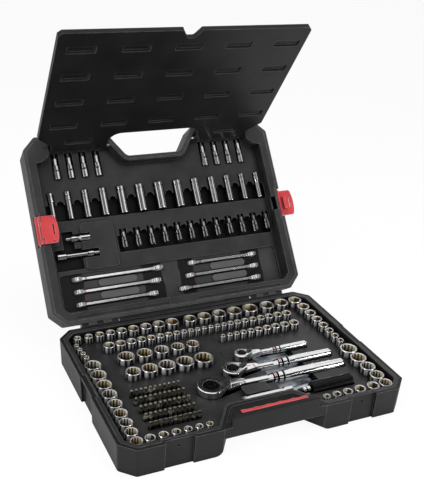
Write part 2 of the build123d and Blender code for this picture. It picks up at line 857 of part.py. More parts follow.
with BuildPart() as bits:
    with BuildSketch(Plane.XY.offset(bit_floor)):
        with Locations(bit_centre):
            with GridLocations(bit_pitch_x, bit_pitch_y, bit_columns, bit_rows):
                RegularPolygon(bit_flats / sqrt(3), 6)
    extrude(amount=bit_shank)
    with BuildSketch(Plane.XY.offset(bit_floor + bit_shank)):
        with Locations(bit_centre):
            with GridLocations(bit_pitch_x, bit_pitch_y, bit_columns, bit_rows):
                Circle(bit_flats * 0.45)
    extrude(amount=(bit_length - bit_shank) / 3)
    for kind in range(bit_rows):
        tip_y = bit_centre[1] + (kind - (bit_rows - 1) / 2) * bit_pitch_y
        with BuildSketch(Plane.XY.offset(bit_floor + bit_shank)):
            with Locations((bit_centre[0], tip_y)):
                with GridLocations(bit_pitch_x, 1, bit_columns, 1):
                    bit_tip(kind)
        extrude(amount=bit_length - bit_shank)

save(bits.part, "bits")


# Ratchets: a round head with a geared drive, pawl, direction lever and release button, and a round grip
def handle_profile(name):
    """Half outline of a ratchet's neck and grip, as distance from the head and radius."""
    neck = neck_radius[name]
    grip = grip_radius[name]
    root = 1.3 * head_radius[name]
    collar = neck_reach[name]
    end = ratchet_reach[name]
    ring = ring_width[name]
    return [
        (root, 0),
        (root, neck * 1.1),
        (collar - 8, neck),
        (collar, grip * 0.9),
        (collar + 2 * ring, grip * 0.9),
        (collar + 2 * ring, grip * 0.78),
        (collar + 3 * ring, grip * 0.78),
        (collar + 3 * ring, grip * 0.94),
        (collar + 5 * ring, grip * 0.94),
        (collar + 5 * ring, grip * 0.78),
        (collar + 6 * ring, grip * 0.78),
        (collar + 6 * ring, grip * 0.92),
        (collar + 9 * ring, grip),
        (end - 3 * ring, grip * 0.93),
        (end - ring, grip * 0.93),
        (end, grip * 0.7),
        (end, 0),
    ]


for name in ratchet_names:
    head_x, head_y = ratchet_heads[name]
    head = (head_x, head_y)
    head_r = head_radius[name]
    low = ratchet_bottom(name)
    axis_z = ratchet_axis(name)
    wheel_r = ratchet_wheel_share * head_r
    disc_r = ratchet_lid_share * head_r
    pawl_r = pawl_share * head_r
    stem_r = 0.6 * pawl_r
    button_r = button_share * head_r
    pawl = (head_x + wheel_r + pawl_r + running_gap, head_y)
    square = drive_square[name]
    roof_z = ratchet_top - ratchet_roof
    gear_z = low + cover_thickness + running_gap
    gear_height = roof_z - running_gap - gear_z

    with BuildPart() as body:
        with BuildSketch(Plane.XY.offset(low)):
            with Locations(head):
                Circle(head_r)
            with Locations((head_x + head_r, head_y)):
                Circle(throat_share * head_r)
            make_hull()
        extrude(amount=head_thickness[name])
        chamfer(body.edges().group_by(Axis.Z)[-1], 1.2)
        chamfer(body.edges().group_by(Axis.Z)[0], 1.0)
        with BuildSketch(Plane.XY.offset(axis_z)):
            with Locations((head_x + head_r * 0.5, head_y)):
                Circle(throat_share * head_r * 1.2)
            with Locations((head_x + neck_run[name], head_y)):
                Circle(neck_radius[name])
            make_hull()
        extrude(amount=neck_plate_share * head_thickness[name] / 2, both=True)
        with BuildSketch(Plane(origin=(head_x, head_y, axis_z), x_dir=(1, 0, 0), z_dir=(0, -1, 0))):
            with BuildLine():
                Polyline(*handle_profile(name), close=True)
            make_face()
        revolve(axis=Axis((head_x, head_y, axis_z), (1, 0, 0)))
        with BuildSketch(Plane.XY.offset(roof_z - 1)):
            with Locations(head):
                Circle(disc_r + running_gap)
            with Locations(pawl):
                Circle(stem_r + running_gap)
        extrude(amount=ratchet_roof + 2, mode=Mode.SUBTRACT)
        with BuildSketch(Plane.XY.offset(low)):
            with Locations(head):
                Circle(wheel_r + running_gap)
            with Locations(pawl):
                Circle(pawl_r + running_gap)
        extrude(amount=roof_z - low, mode=Mode.SUBTRACT)
        with BuildSketch(Plane.XY.offset(low)):
            with Locations(head):
                Circle(wheel_r + cover_lap)
            with Locations(pawl):
                Circle(pawl_r + cover_lap)
            make_hull()
        extrude(amount=cover_thickness, mode=Mode.SUBTRACT)
    save(body.part, f"ratchet_{name}_body")

    with BuildPart() as cover:
        with BuildSketch(Plane.XY.offset(low)):
            with Locations(head):
                Circle(wheel_r + cover_lap - 0.05)
            with Locations(pawl):
                Circle(pawl_r + cover_lap - 0.05)
            make_hull()
        extrude(amount=cover_thickness)
        with BuildSketch(Plane.XY.offset(low)):
            with Locations(head):
                Circle(square / sqrt(2) + running_gap)
        extrude(amount=cover_thickness, mode=Mode.SUBTRACT)
    save(cover.part, f"ratchet_{name}_cover")

    with BuildPart() as drive:
        with BuildSketch(Plane.XY.offset(gear_z)):
            with Locations(head):
                Circle(wheel_r)
                with PolarLocations(wheel_r, wheel_teeth):
                    RegularPolygon(0.09 * wheel_r, 4, mode=Mode.SUBTRACT)
        extrude(amount=gear_height)
        with BuildSketch(Plane.XY.offset(roof_z - 2)):
            with Locations(head):
                Circle(disc_r)
        extrude(amount=ratchet_top - 0.4 - roof_z + 2)
        with BuildSketch(Plane.XY.offset(low)):
            with Locations(head):
                Circle(square / sqrt(2))
        extrude(amount=gear_z - low + 1)
        with BuildSketch(Plane.XY.offset(low - drive_length(name))):
            with Locations(head):
                Rectangle(square, square)
        extrude(amount=drive_length(name) + 1)
        with BuildSketch(Plane.XY.offset(ratchet_top - button_depth - button_travel - running_gap)):
            with Locations(head):
                Circle(button_r + running_gap)
        extrude(amount=base_height, mode=Mode.SUBTRACT)
    save(drive.part, f"ratchet_{name}_drive")

    with BuildPart() as button:
        with BuildSketch(Plane.XY.offset(ratchet_top - button_depth)):
            with Locations(head):
                Circle(button_r)
        extrude(amount=button_depth + button_rise)
        chamfer(button.edges().group_by(Axis.Z)[-1], 0.5)
    save(button.part, f"ratchet_{name}_button")

    with BuildPart() as lever:
        with BuildSketch(Plane.XY.offset(ratchet_top + running_gap)):
            with Locations(pawl):
                Circle(pawl_r * 1.15)
            with Locations(
                (
                    pawl[0] + 0.62 * head_r * cos(radians(lever_angle)),
                    pawl[1] + 0.62 * head_r * sin(radians(lever_angle)),
                )
            ):
                Circle(pawl_r * 0.7)
            make_hull()
        extrude(amount=lever_height - running_gap)
        with BuildSketch(Plane.XY.offset(roof_z - running_gap)):
            with Locations(pawl):
                Circle(stem_r)
        extrude(amount=ratchet_roof + 2 * running_gap)
    save(lever.part, f"ratchet_{name}_lever")

    with BuildPart() as pawl_drum:
        with BuildSketch(Plane.XY.offset(gear_z)):
            with Locations(pawl):
                RegularPolygon(pawl_r, 12)
        extrude(amount=gear_height)
    save(pawl_drum.part, f"ratchet_{name}_pawl")


# Extension bar lying between the handle and the half inch ratchet
extension_plane = Plane(origin=(extension_start, bar_row_y, extension_z), x_dir=(1, 0, 0), z_dir=(0, -1, 0))
extension_span = extension_end - extension_start
extension_profile = [
    (quarter_square + 1, 0),
    (quarter_square + 1, extension_radius * 0.9),
    (quarter_square + 5, extension_radius * 0.9),
    (quarter_square + 6, extension_radius),
    (extension_span - 18, extension_radius),
    (extension_span - 14, extension_end_radius),
    (extension_span - 1, extension_end_radius),
    (extension_span, extension_end_radius - 0.8),
    (extension_span, 0),
]

with BuildPart() as extension_bar:
    with BuildSketch(extension_plane):
        with BuildLine():
            Polyline(*extension_profile, close=True)
        make_face()
    revolve(axis=Axis((extension_start, bar_row_y, extension_z), (1, 0, 0)))
    with BuildSketch(Plane.YZ.offset(extension_start)):
        with Locations((bar_row_y, extension_z)):
            Rectangle(quarter_square, quarter_square)
    extrude(amount=quarter_square + 2)
    with BuildSketch(Plane.YZ.offset(extension_end - quarter_square - 1)):
        with Locations((bar_row_y, extension_z)):
            Rectangle(quarter_square + 0.3, quarter_square + 0.3)
    extrude(amount=quarter_square + 2, mode=Mode.SUBTRACT)

save(extension_bar.part, "extension_bar")


# Spinner: a fluted grip on a steel shank with a drive square
shank_radius = 5.5
tang_radius = 4.0
tang_length = 18.0
grip_start = spinner_start + spinner_shank

with BuildPart() as spinner_grip:
    with BuildSketch(Plane.YZ.offset(grip_start)):
        with Locations((bar_row_y, spinner_z)):
            Circle(spinner_radius)
            with PolarLocations(spinner_radius + spinner_flute_radius * 0.45, spinner_flutes, start_angle=30):
                Circle(spinner_flute_radius, mode=Mode.SUBTRACT)
    extrude(amount=spinner_end - grip_start)
    chamfer(spinner_grip.edges().group_by(Axis.X)[0], 1.5)
    chamfer(spinner_grip.edges().group_by(Axis.X)[-1], 1.5)
    with BuildSketch(Plane.YZ.offset(grip_start)):
        with Locations((bar_row_y, spinner_z)):
            Circle(tang_radius + 0.05)
    extrude(amount=tang_length + 0.5, mode=Mode.SUBTRACT)

save(spinner_grip.part, "spinner_grip")

with BuildPart() as spinner_shaft:
    with BuildSketch(Plane.YZ.offset(spinner_start)):
        with Locations((bar_row_y, spinner_z)):
            Rectangle(quarter_square, quarter_square)
    extrude(amount=quarter_square + 2)
    with BuildSketch(Plane.YZ.offset(spinner_start + quarter_square + 1)):
        with Locations((bar_row_y, spinner_z)):
            Circle(shank_radius)
    extrude(amount=spinner_shank - quarter_square - 1)
    with BuildSketch(Plane.YZ.offset(grip_start - 1)):
        with Locations((bar_row_y, spinner_z)):
            Circle(tang_radius)
    extrude(amount=tang_length + 1)

save(spinner_shaft.part, "spinner_shaft")


# Lid shell, drawn on the open lid's own plane: y from the hinge axis to the handle, z into the lid's tray
rim_z = -mating_gap
lid_floor = -lid_height + floor_thickness
latch_x = half_width - latch_axis_inset


def lid_side(x):
    """Plane across the lid at this X, with the lid's y and z as its own."""
    return Plane(
        origin=lid_plane.from_local_coords((x, 0, 0)), x_dir=lid_plane.y_dir, z_dir=lid_plane.x_dir
    )


with BuildPart() as lid_shell:
    with BuildSketch(lid_plane.offset(-lid_height)) as lid_top:
        Polygon(*octagon(wall_draft, lid_mid), align=None)
        fillet(lid_top.vertices(), corner_round)
    with BuildSketch(lid_plane.offset(rim_z)) as lid_edge:
        Polygon(*octagon(0, lid_mid), align=None)
        fillet(lid_edge.vertices(), corner_round)
    loft()
    with BuildSketch(lid_plane.offset(lid_floor)) as lid_cavity:
        Polygon(*octagon(skin, lid_mid), align=None)
        fillet(lid_cavity.vertices(), corner_round - 2)
        add(lid_hole_wall, mode=Mode.SUBTRACT)
        with Locations((-half_width, lid_mid), (half_width, lid_mid)):
            Rectangle(2 * latch_block, recess_width + 2 * wall, mode=Mode.SUBTRACT)
    extrude(amount=lid_height, mode=Mode.SUBTRACT)
    with BuildSketch(lid_plane.offset(-lid_height - 1)):
        add(lid_hole)
    extrude(amount=lid_height + 2, mode=Mode.SUBTRACT)
    with BuildSketch(lid_plane.offset(-lid_height - 1)) as lid_panel:
        with Locations((0, lid_mid - lid_panel_shift)):
            Rectangle(lid_panel_length, lid_panel_width)
        fillet(lid_panel.vertices(), lid_panel_round)
    extrude(amount=lid_panel_depth + 1, mode=Mode.SUBTRACT)
    with BuildSketch(lid_plane.offset(rim_z - lid_recess_height)):
        with Locations((-half_width, lid_mid), (half_width, lid_mid)):
            Rectangle(2 * latch_recess, recess_width)
    extrude(amount=lid_recess_height + 1, mode=Mode.SUBTRACT)
    for side in (-1, 1):
        pin_end = lid_mid + recess_width / 2 + wall
        with BuildSketch(
            Plane(
                origin=lid_plane.from_local_coords((side * latch_x, pin_end, -latch_axis_depth)),
                x_dir=lid_plane.x_dir,
                z_dir=-lid_plane.y_dir,
            )
        ):
            Circle(latch_pin_radius + pin_fit)
        extrude(amount=recess_width + 2 * wall, mode=Mode.SUBTRACT)
    for start in knuckles(1):
        with BuildSketch(lid_side(start)):
            Circle(knuckle_radius)
            Polygon(
                (hinge_offset + wall, -hinge_web),
                (hinge_offset + wall, rim_z),
                (0, rim_z),
                (0, -knuckle_radius),
                align=None,
            )
        extrude(amount=knuckle_length)
    with BuildSketch(lid_side(-half_width)):
        Circle(knuckle_bore)
    extrude(amount=case_width, mode=Mode.SUBTRACT)
    with BuildSketch(lid_side(-handle_outer_half - 30)):
        with Locations((flap_axis_y, -flap_axis_depth)):
            Circle(flap_pin_radius + pin_fit)
    extrude(amount=2 * handle_outer_half + 60, mode=Mode.SUBTRACT)

save(lid_shell.part, "lid_shell")


# Places of the lid's tools
deep_sizes = graded(deep_small, deep_large, (deep_count + 1) // 2)
deep_sizes = deep_sizes + deep_sizes[-2::-1]
deep_drive = small_drive_end
deep_places = spread(
    (deep_first_x, deep_row_y), (deep_last_x, deep_row_y), [max(size, deep_drive) for size in deep_sizes]
)
tool_z = lid_deck
wrench_z = lid_deck - 2.0
slot_room = 0.8
row_pitch = (short_bit_last_x - short_bit_first_x) / (short_bit_count - 1)
short_bit_places = [(short_bit_first_x + i * row_pitch, short_bit_y) for i in range(short_bit_count)]
left_bit_places = [
    (-bit_socket_x + (i - (bit_socket_count - 1) / 2) * bit_socket_pitch, bit_socket_y)
    for i in range(bit_socket_count)
]
right_bit_places = [(-x, y) for x, y in reversed(left_bit_places)]


def wrench_head(length):
    """Radius of a wrench's open end."""
    return wrench_head_share * length


wrench_places = []
for y, length in zip(wrench_rows, wrench_left_lengths):
    wrench_places.append((wrench_left_start + length / 2, y, length))
for y, length in zip(wrench_rows, wrench_right_lengths):
    wrench_places.append((wrench_right_end - length / 2, y, length))


# Slots sunk in the lid tray: place, size along x and y, depth below the deck
lid_slots = []
for (x, y), size in zip(deep_places, deep_sizes):
    widest = max(size, deep_drive)
    lid_slots.append((x, y, widest + 2 * slot_room, deep_length + 2 * slot_room, widest / 2))
for x, y in left_bit_places + right_bit_places:
    width = 2 * (bit_socket_radius + slot_room)
    lid_slots.append((x, y, width, bit_socket_length + 2 * slot_room, bit_socket_radius))
for x, y in short_bit_places:
    width = 2 * (bit_socket_radius + slot_room)
    lid_slots.append((x, y, width, short_bit_length + 2 * slot_room, bit_socket_radius))
for (x, y), length in ((adapter_centre, adapter_length), (holder_centre, holder_length)):
    lid_slots.append((x, y, length + 2 * slot_room, 2 * (accessory_radius + slot_room), accessory_radius))
for x, y, length in wrench_places:
    depth = wrench_head(length) + lid_deck - wrench_z
    lid_slots.append((x, y, length + 2 * slot_room, wrench_slot, depth))


slot_levels = sorted({slot[4] for slot in lid_slots})

# Pads that carry the tools where they cross a trench: place, size along x and y, depth below the deck
pads = []
for (x, y), size in zip(deep_places, deep_sizes):
    pads.append(((x, y - deep_length / 2 + pad_from_end), pad_width, pad_length, max(size, deep_drive) / 2))
for x, y in short_bit_places:
    pads.append(((x, y - short_bit_length / 2 + pad_from_end), pad_width, pad_length, bit_socket_radius))
for (x, y), length in ((adapter_centre, adapter_length), (holder_centre, holder_length)):
    pads.append(((x - length / 2 + pad_from_end, y), pad_length, pad_width, accessory_radius))


def lid_opening(grow):
    """Corner points of the lid tray's mouth, grown outward."""
    x = half_width - lid_rim + grow
    back = hinge_offset + lid_rim - grow
    front = lid_front - lid_front_rim + grow
    cut = corner_cut - lid_rim * (2 - sqrt(2)) + grow * (2 - sqrt(2))
    right = [(x, back + cut), (x, front - cut), (x - cut, front)]
    left = [(-a, b) for a, b in reversed(right)]
    return [(x - cut, back)] + right + left + [(-(x - cut), back)]


def corner_boss(side):
    """The raised pad in a front corner of the lid tray as a flat shape, its free corners rounded."""
    points = [
        (boss_edge, lid_front),
        (boss_edge, boss_back + boss_slope),
        (boss_edge + 0.75 * boss_slope, boss_back + 0.4 * boss_slope),
        (half_width, boss_back),
        (half_width, lid_front),
    ]
    with BuildSketch(mode=Mode.PRIVATE) as pad:
        Polygon(*[(side * x, y) for x, y in points], align=None)
        fillet([v for v in pad.vertices() if abs(v.X) < half_width - 1 and v.Y < lid_front - 1], boss_round)
    return pad.sketch


def block(xs, ys, grow=0.0):
    """Draw a rectangle from its ends along x and y, grown by a margin, in the current sketch."""
    with Locations(((xs[0] + xs[1]) / 2, (ys[0] + ys[1]) / 2)):
        Rectangle(xs[1] - xs[0] + 2 * grow, ys[1] - ys[0] + 2 * grow)


deep_trench_x = (deep_first_x - trench_reach, deep_last_x + trench_reach)
short_trench_x = (short_bit_first_x - trench_reach, short_bit_last_x + trench_reach / 2)
side_trenches = [(side_trench_x, side_trench_y), (adapter_trench_x, adapter_trench_y)]
wrench_bed_x = (-wrench_bed_half, wrench_bed_half)


def trenches(grow=0.0):
    """Draw both finger trenches of the lid tray in the current sketch."""
    block(deep_trench_x, deep_trench_y, grow)
    block(short_trench_x, short_trench_y, grow)
    for row, front in ((deep_places, deep_trench_y[1]), (short_bit_places, short_trench_y[1])):
        with Locations(*[((a[0] + b[0]) / 2, front) for a, b in zip(row, row[1:])]):
            Circle(trench_scallop + grow)


hook_x = latch_x - (hook_start + hook_end + 2) / 2
hook_notch = hook_end + 2 - hook_start + 2 * hook_room
hook_depth = latch_axis_depth - latch_offset + hook_drop + hook_room

with BuildPart() as lid_tray:
    with BuildSketch(lid_plane.offset(lid_deck - tray_wall)):
        Polygon(*lid_opening(tray_wall), align=None)
        add(lid_tray_edge, mode=Mode.SUBTRACT)
    extrude(amount=lid_deck_depth + tray_wall + rim_z)
    with BuildSketch(lid_plane.offset(lid_deck)):
        Polygon(*lid_opening(0), align=None)
        add(lid_tray_inside, mode=Mode.SUBTRACT)
        add(corner_boss(-1), mode=Mode.SUBTRACT)
        add(corner_boss(1), mode=Mode.SUBTRACT)
    extrude(amount=lid_deck_depth + 1, mode=Mode.SUBTRACT)
    with BuildSketch(lid_plane.offset(rim_z - tray_flange)) as lid_flange:
        Polygon(*octagon(skin + fit_gap, lid_mid), align=None)
        fillet(lid_flange.vertices(), corner_round - 2)
        Polygon(*lid_opening(0), align=None, mode=Mode.SUBTRACT)
        add(lid_tray_edge, mode=Mode.SUBTRACT)
        with Locations((-half_width, lid_mid), (half_width, lid_mid)):
            Rectangle(2 * (latch_block + fit_gap), recess_width + 2 * (wall + fit_gap), mode=Mode.SUBTRACT)
    extrude(amount=tray_flange)
    for level in slot_levels:
        with BuildSketch(lid_plane.offset(lid_deck - level - well_wall)):
            for x, y, size_x, size_y, depth in lid_slots:
                if depth == level:
                    with Locations((x, y)):
                        Rectangle(size_x + 2 * well_wall, size_y + 2 * well_wall)
        extrude(amount=level + well_wall - 1)
    with BuildSketch(lid_plane.offset(lid_deck - trench_depth - well_wall)):
        trenches(well_wall)
    extrude(amount=trench_depth + well_wall - 1)
    with BuildSketch(lid_plane.offset(lid_deck - side_trench_depth - well_wall)):
        for xs, ys in side_trenches:
            block(xs, ys, well_wall)
    extrude(amount=side_trench_depth + well_wall - 1)
    with BuildSketch(lid_plane.offset(lid_deck - wrench_bed_depth - well_wall)):
        block(wrench_bed_x, wrench_bed_y, well_wall)
    extrude(amount=wrench_bed_depth + well_wall - 1)
    with BuildSketch(lid_plane.offset(lid_deck - 1)) as platform:
        block(platform_x, platform_y)
        fillet(platform.vertices(), platform_round)
    extrude(amount=platform_rise + 1)
    with BuildSketch(lid_plane.offset(lid_deck - 1)) as ledge:
        block(latch_ledge_x, latch_ledge_y)
        fillet(ledge.vertices().group_by(Axis.X)[-1], latch_ledge_round)
    extrude(amount=lid_deck_depth - latch_ledge_depth + 1)
    with BuildSketch(lid_plane.offset(lid_floor)):
        with Locations(*post_places):
            Circle(post_radius)
    extrude(amount=lid_deck - tray_wall - lid_floor + 1)
    with BuildSketch(lid_plane.offset(lid_deck - wrench_bed_depth)) as bed:
        block(wrench_bed_x, wrench_bed_y)
        fillet(bed.vertices(), wrench_bed_round)
    extrude(amount=wrench_bed_depth + 1, mode=Mode.SUBTRACT)
    with BuildSketch(lid_plane.offset(lid_deck - side_trench_depth)):
        for xs, ys in side_trenches:
            block(xs, ys)
    extrude(amount=side_trench_depth + 1, mode=Mode.SUBTRACT)
    with BuildSketch(lid_plane.offset(lid_deck - trench_depth)):
        trenches()
    extrude(amount=trench_depth + 1, mode=Mode.SUBTRACT)
    for place, size_x, size_y, depth in pads:
        with BuildSketch(lid_plane.offset(lid_deck - trench_depth - 0.5)):
            with Locations(place):
                Rectangle(size_x, size_y)
        extrude(amount=trench_depth + 0.5 - depth)
    for level in slot_levels:
        with BuildSketch(lid_plane.offset(lid_deck - level)):
            for x, y, size_x, size_y, depth in lid_slots:
                if depth == level:
                    with Locations((x, y)):
                        Rectangle(size_x, size_y)
        extrude(amount=level + platform_rise + 1, mode=Mode.SUBTRACT)
    with BuildSketch(lid_plane.offset(lid_deck - wrench_bed_depth - 0.5)):
        for side in (-1, 1):
            for a, b in zip(wrench_rows, wrench_rows[1:]):
                with Locations((side * label_x, (a + b) / 2)):
                    SlotOverall(label_length, label_width)
    extrude(amount=label_height + 0.5)
    with BuildSketch(lid_plane.offset(rim_z - rim_groove_depth)):
        with Locations((-rim_groove_x, rim_groove_y), (rim_groove_x, rim_groove_y)):
            SlotOverall(rim_groove_length, rim_groove_width)
    extrude(amount=rim_groove_depth + 1, mode=Mode.SUBTRACT)
    with BuildSketch(lid_plane.offset(rim_z - hook_depth)):
        with Locations((-hook_x, lid_mid), (hook_x, lid_mid)):
            Rectangle(hook_notch, hook_width + 2 * hook_room)
    extrude(amount=hook_depth + 1, mode=Mode.SUBTRACT)
    with BuildSketch(lid_side(-handle_outer_half - 30)):
        with Locations((flap_axis_y, -flap_axis_depth)):
            Circle(flap_pin_radius + pin_fit)
    extrude(amount=2 * handle_outer_half + 60, mode=Mode.SUBTRACT)

save(lid_tray.part, "lid_tray")


# Flap that holds the lid's tools in, with pressed dimples, a thumb notch and an opening round the handle
flap_edge = flap_thickness / 2
flap_right = [
    (flap_cut_half, -flap_edge),
    (flap_shoulder, -flap_edge),
    (flap_shoulder, flap_shoulder_length),
    (flap_half, flap_shoulder_length + flap_slope_length),
    (flap_half, flap_length - flap_corner),
    (flap_half - flap_corner, flap_length),
    (thumb_half, flap_length),
    (thumb_half - thumb_slope, flap_length - thumb_depth),
]
flap_outline = flap_right + [(-x, y) for x, y in reversed(flap_right)]
flap_outline = flap_outline + [(-flap_cut_half, flap_cut_length), (flap_cut_half, flap_cut_length)]
flap_skin = 2.5
flap_border = 4.0
dimple_base = flap_length - dimple_from_edge - (dimple_rows - 1) * dimple_pitch_y / 2


def dimples(grow, mode=Mode.ADD):
    """Draw every dimple of the flap, grown by a margin, in the current sketch."""
    with Locations((dimple_shift, dimple_base)):
        with GridLocations(dimple_pitch_x, dimple_pitch_y, dimple_columns, dimple_rows):
            Rectangle(dimple_length + 2 * grow, dimple_width + 2 * grow, mode=mode)


with BuildPart() as flap:
    with BuildSketch(flap_plane.offset(-flap_edge)) as flap_shape:
        Polygon(*flap_outline, align=None)
        fillet([v for v in flap_shape.vertices() if abs(v.Y - flap_cut_length) < 0.5], flap_cut_round)
        fillet([v for v in flap_shape.vertices() if abs(v.Y - flap_length + thumb_depth) < 0.5], thumb_round)
    extrude(amount=flap_thickness)
    with BuildSketch(flap_plane.offset(-flap_edge)):
        with Locations((0, (flap_length + flap_cut_length) / 2)):
            Rectangle(
                2 * (flap_half - flap_border), flap_length - flap_cut_length - 2 * (thumb_depth + flap_border)
            )
        dimples(flap_skin, Mode.SUBTRACT)
    extrude(amount=flap_thickness - flap_skin, mode=Mode.SUBTRACT)
    with BuildSketch(flap_plane.offset(flap_edge)):
        dimples(0)
        with Locations((-dimple_low[0], dimple_low[1]), dimple_low):
            Rectangle(dimple_length, dimple_width)
    extrude(amount=-dimple_depth, taper=dimple_slope, mode=Mode.SUBTRACT)
    for side in (-1, 1):
        hinge_end = side * (flap_cut_half + flap_ear / 2)
        with BuildSketch(
            Plane(
                origin=flap_plane.from_local_coords((hinge_end - flap_ear / 2 - 1, 0, 0)),
                x_dir=flap_plane.y_dir,
                z_dir=flap_plane.x_dir,
            )
        ):
            Circle(flap_pin_radius + pin_fit)
        extrude(amount=flap_ear + 2, mode=Mode.SUBTRACT)

save(flap.part, "flap")


# Flap pins, one at each side of the handle opening
flap_wall_half = handle_inner_half + (flap_axis_y - hinge_y - half_depth + handle_depth) * handle_slope
with BuildPart() as flap_pins:
    for side in (-1, 1):
        near = flap_wall_half + 2
        far = flap_cut_half + flap_ear
        with BuildSketch(lid_side(side * (near + far) / 2 - (far - near) / 2)):
            with Locations((flap_axis_y, -flap_axis_depth)):
                Circle(flap_pin_radius)
        extrude(amount=far - near)

save(flap_pins.part, "flap_pins")


# Latches: a plate on a knuckle with a hook behind it and a slot near its free edge
def latch(place):
    """One latch on a plane whose x runs to its free edge, y along its pin and z out of its face."""
    half = latch_width / 2
    free_edge = latch_length - latch_bulge
    edge = Plane(origin=place.from_local_coords((0, half, 0)), x_dir=place.x_dir, z_dir=-place.y_dir)
    with BuildPart() as piece:
        with BuildSketch(place.offset(latch_offset)) as plate:
            with BuildLine():
                Polyline((free_edge, half), (0.5, half), (0.5, -half), (free_edge, -half))
                ThreePointArc((free_edge, -half), (latch_length, 0), (free_edge, half))
            make_face()
            fillet(plate.vertices().group_by(Axis.X)[-1], latch_bulge)
            with Locations((latch_length - latch_slot_from_end, 0)):
                SlotOverall(latch_slot_length, latch_slot_width, rotation=90, mode=Mode.SUBTRACT)
        extrude(amount=latch_thickness)
        with BuildSketch(place.offset(latch_offset + latch_thickness - latch_step)):
            for side in (-1, 1):
                with Locations((free_edge - latch_pad_length, side * (half - latch_pad_width / 2))):
                    Rectangle(latch_pad_length, latch_pad_width)
                with Locations((2 * latch_groove, side * (half - latch_pad_width))):
                    Rectangle(latch_groove, 2 * latch_pad_width)
            with Locations((latch_groove, 0)):
                Rectangle(latch_groove / 2, latch_width - 2 * latch_pad_width)
        extrude(amount=latch_step + 1, mode=Mode.SUBTRACT)
        with BuildSketch(edge):
            Circle(latch_knuckle)
            with Locations((latch_knuckle / 2, latch_offset / 2 + 0.5)):
                Rectangle(latch_knuckle, latch_offset + 1)
        extrude(amount=latch_width)
        with BuildSketch(edge):
            Circle(latch_pin_radius + pin_fit)
        extrude(amount=latch_width, mode=Mode.SUBTRACT)
        with BuildSketch(edge.offset((latch_width - hook_width) / 2)):
            Polygon(
                (hook_start, latch_offset + 0.5),
                (hook_start, latch_offset - hook_drop),
                (hook_end, latch_offset - hook_drop),
                (hook_end + 2, latch_offset + 0.5),
                align=None,
            )
        extrude(amount=hook_width)
    return piece.part


latch_left_place = Plane(
    origin=lid_plane.from_local_coords((-latch_x, lid_mid, -latch_axis_depth)),
    x_dir=lid_plane.x_dir,
    z_dir=lid_plane.z_dir,
)
latch_right_place = Plane(
    origin=lid_plane.from_local_coords((latch_x, lid_mid, -latch_axis_depth)),
    x_dir=lid_plane.x_dir,
    z_dir=-lid_plane.z_dir,
)
latch_left = latch(latch_left_place)
save(latch_left, "latch_left")
latch_right = latch(latch_right_place)
save(latch_right, "latch_right")

with BuildPart() as latch_pins:
    for side in (-1, 1):
        with BuildSketch(
            Plane(
                origin=lid_plane.from_local_coords(
                    (side * latch_x, lid_mid + recess_width / 2 + wall - 0.5, -latch_axis_depth)
                ),
                x_dir=lid_plane.x_dir,
                z_dir=-lid_plane.y_dir,
            )
        ):
            Circle(latch_pin_radius)
        extrude(amount=recess_width + 2 * wall - 1)

save(latch_pins.part, "latch_pins")


# Deep sockets lying in the lid, drive end towards the handle
def lying(x, y, z, length, sign=1.0):
    """Plane at a lying tool's end, with its z along the lid's y, or against it where sign is -1."""
    return Plane(
        origin=lid_plane.from_local_coords((x, y - sign * length / 2, z)),
        x_dir=lid_plane.x_dir,
        z_dir=lid_plane.y_dir * sign,
    )


def deep_socket(mouth):
    """One deep socket standing on its drive end, with a grooved collar there and a long straight body."""
    end_r = max(mouth, deep_drive) / 2
    mouth_r = mouth / 2
    bore_r = mouth_r * bore_share
    groove_end = deep_collar + deep_groove
    with BuildPart() as piece:
        with BuildSketch(Plane.XZ):
            with BuildLine():
                Polyline(
                    (0, 0),
                    (end_r - socket_bevel, 0),
                    (end_r, socket_bevel),
                    (end_r, deep_collar),
                    (end_r - deep_groove_depth, deep_collar + deep_groove_depth),
                    (end_r - deep_groove_depth, groove_end),
                    (end_r, groove_end + deep_groove_depth),
                    (end_r, 2 * groove_end),
                    (mouth_r, 2 * groove_end + end_r - mouth_r + deep_groove),
                    (mouth_r, deep_length - socket_bevel),
                    (mouth_r - socket_bevel / 2, deep_length),
                    (0, deep_length),
                    close=True,
                )
            make_face()
        revolve(axis=Axis.Z)
        with BuildSketch(Plane.XY.offset(deep_length)):
            RegularPolygon(bore_r, 6)
        extrude(amount=-deep_length * 0.55, mode=Mode.SUBTRACT)
        with BuildSketch(Plane.XY):
            Rectangle(quarter_square, quarter_square)
        extrude(amount=deep_length * 0.2, mode=Mode.SUBTRACT)
    return piece.part


deep_pieces = [deep_socket(size) for size in deep_sizes]
with BuildPart() as deep_sockets:
    for (x, y), piece in zip(deep_places, deep_pieces):
        with Locations(lying(x, y, tool_z, deep_length, -1)):
            add(piece)

save(deep_sockets.part, "deep_sockets")


# Bit sockets: a round socket body with a bit standing out of it
def bit_socket(length, body_length):
    """One bit socket standing on its drive end."""
    with BuildPart() as piece:
        with BuildSketch(Plane.XZ):
            with BuildLine():
                Polyline(
                    (0, 0),
                    (bit_socket_radius - 0.6, 0),
                    (bit_socket_radius, 0.6),
                    (bit_socket_radius, body_length * 0.55),
                    (bit_socket_radius * 0.86, body_length * 0.68),
                    (bit_socket_radius * 0.86, body_length - 0.6),
                    (bit_socket_radius * 0.76, body_length),
                    (0, body_length),
                    close=True,
                )
            make_face()
        revolve(axis=Axis.Z)
        with BuildSketch(Plane.XY.offset(body_length)):
            RegularPolygon(bit_blade_radius, 6)
        extrude(amount=(length - body_length) * 0.6)
        with BuildSketch(Plane.XY.offset(body_length)):
            RegularPolygon(bit_blade_radius * 0.72, 6, rotation=30)
        extrude(amount=length - body_length)
        with BuildSketch(Plane.XY):
            Rectangle(quarter_square, quarter_square)
        extrude(amount=body_length * 0.35, mode=Mode.SUBTRACT)
    return piece.part


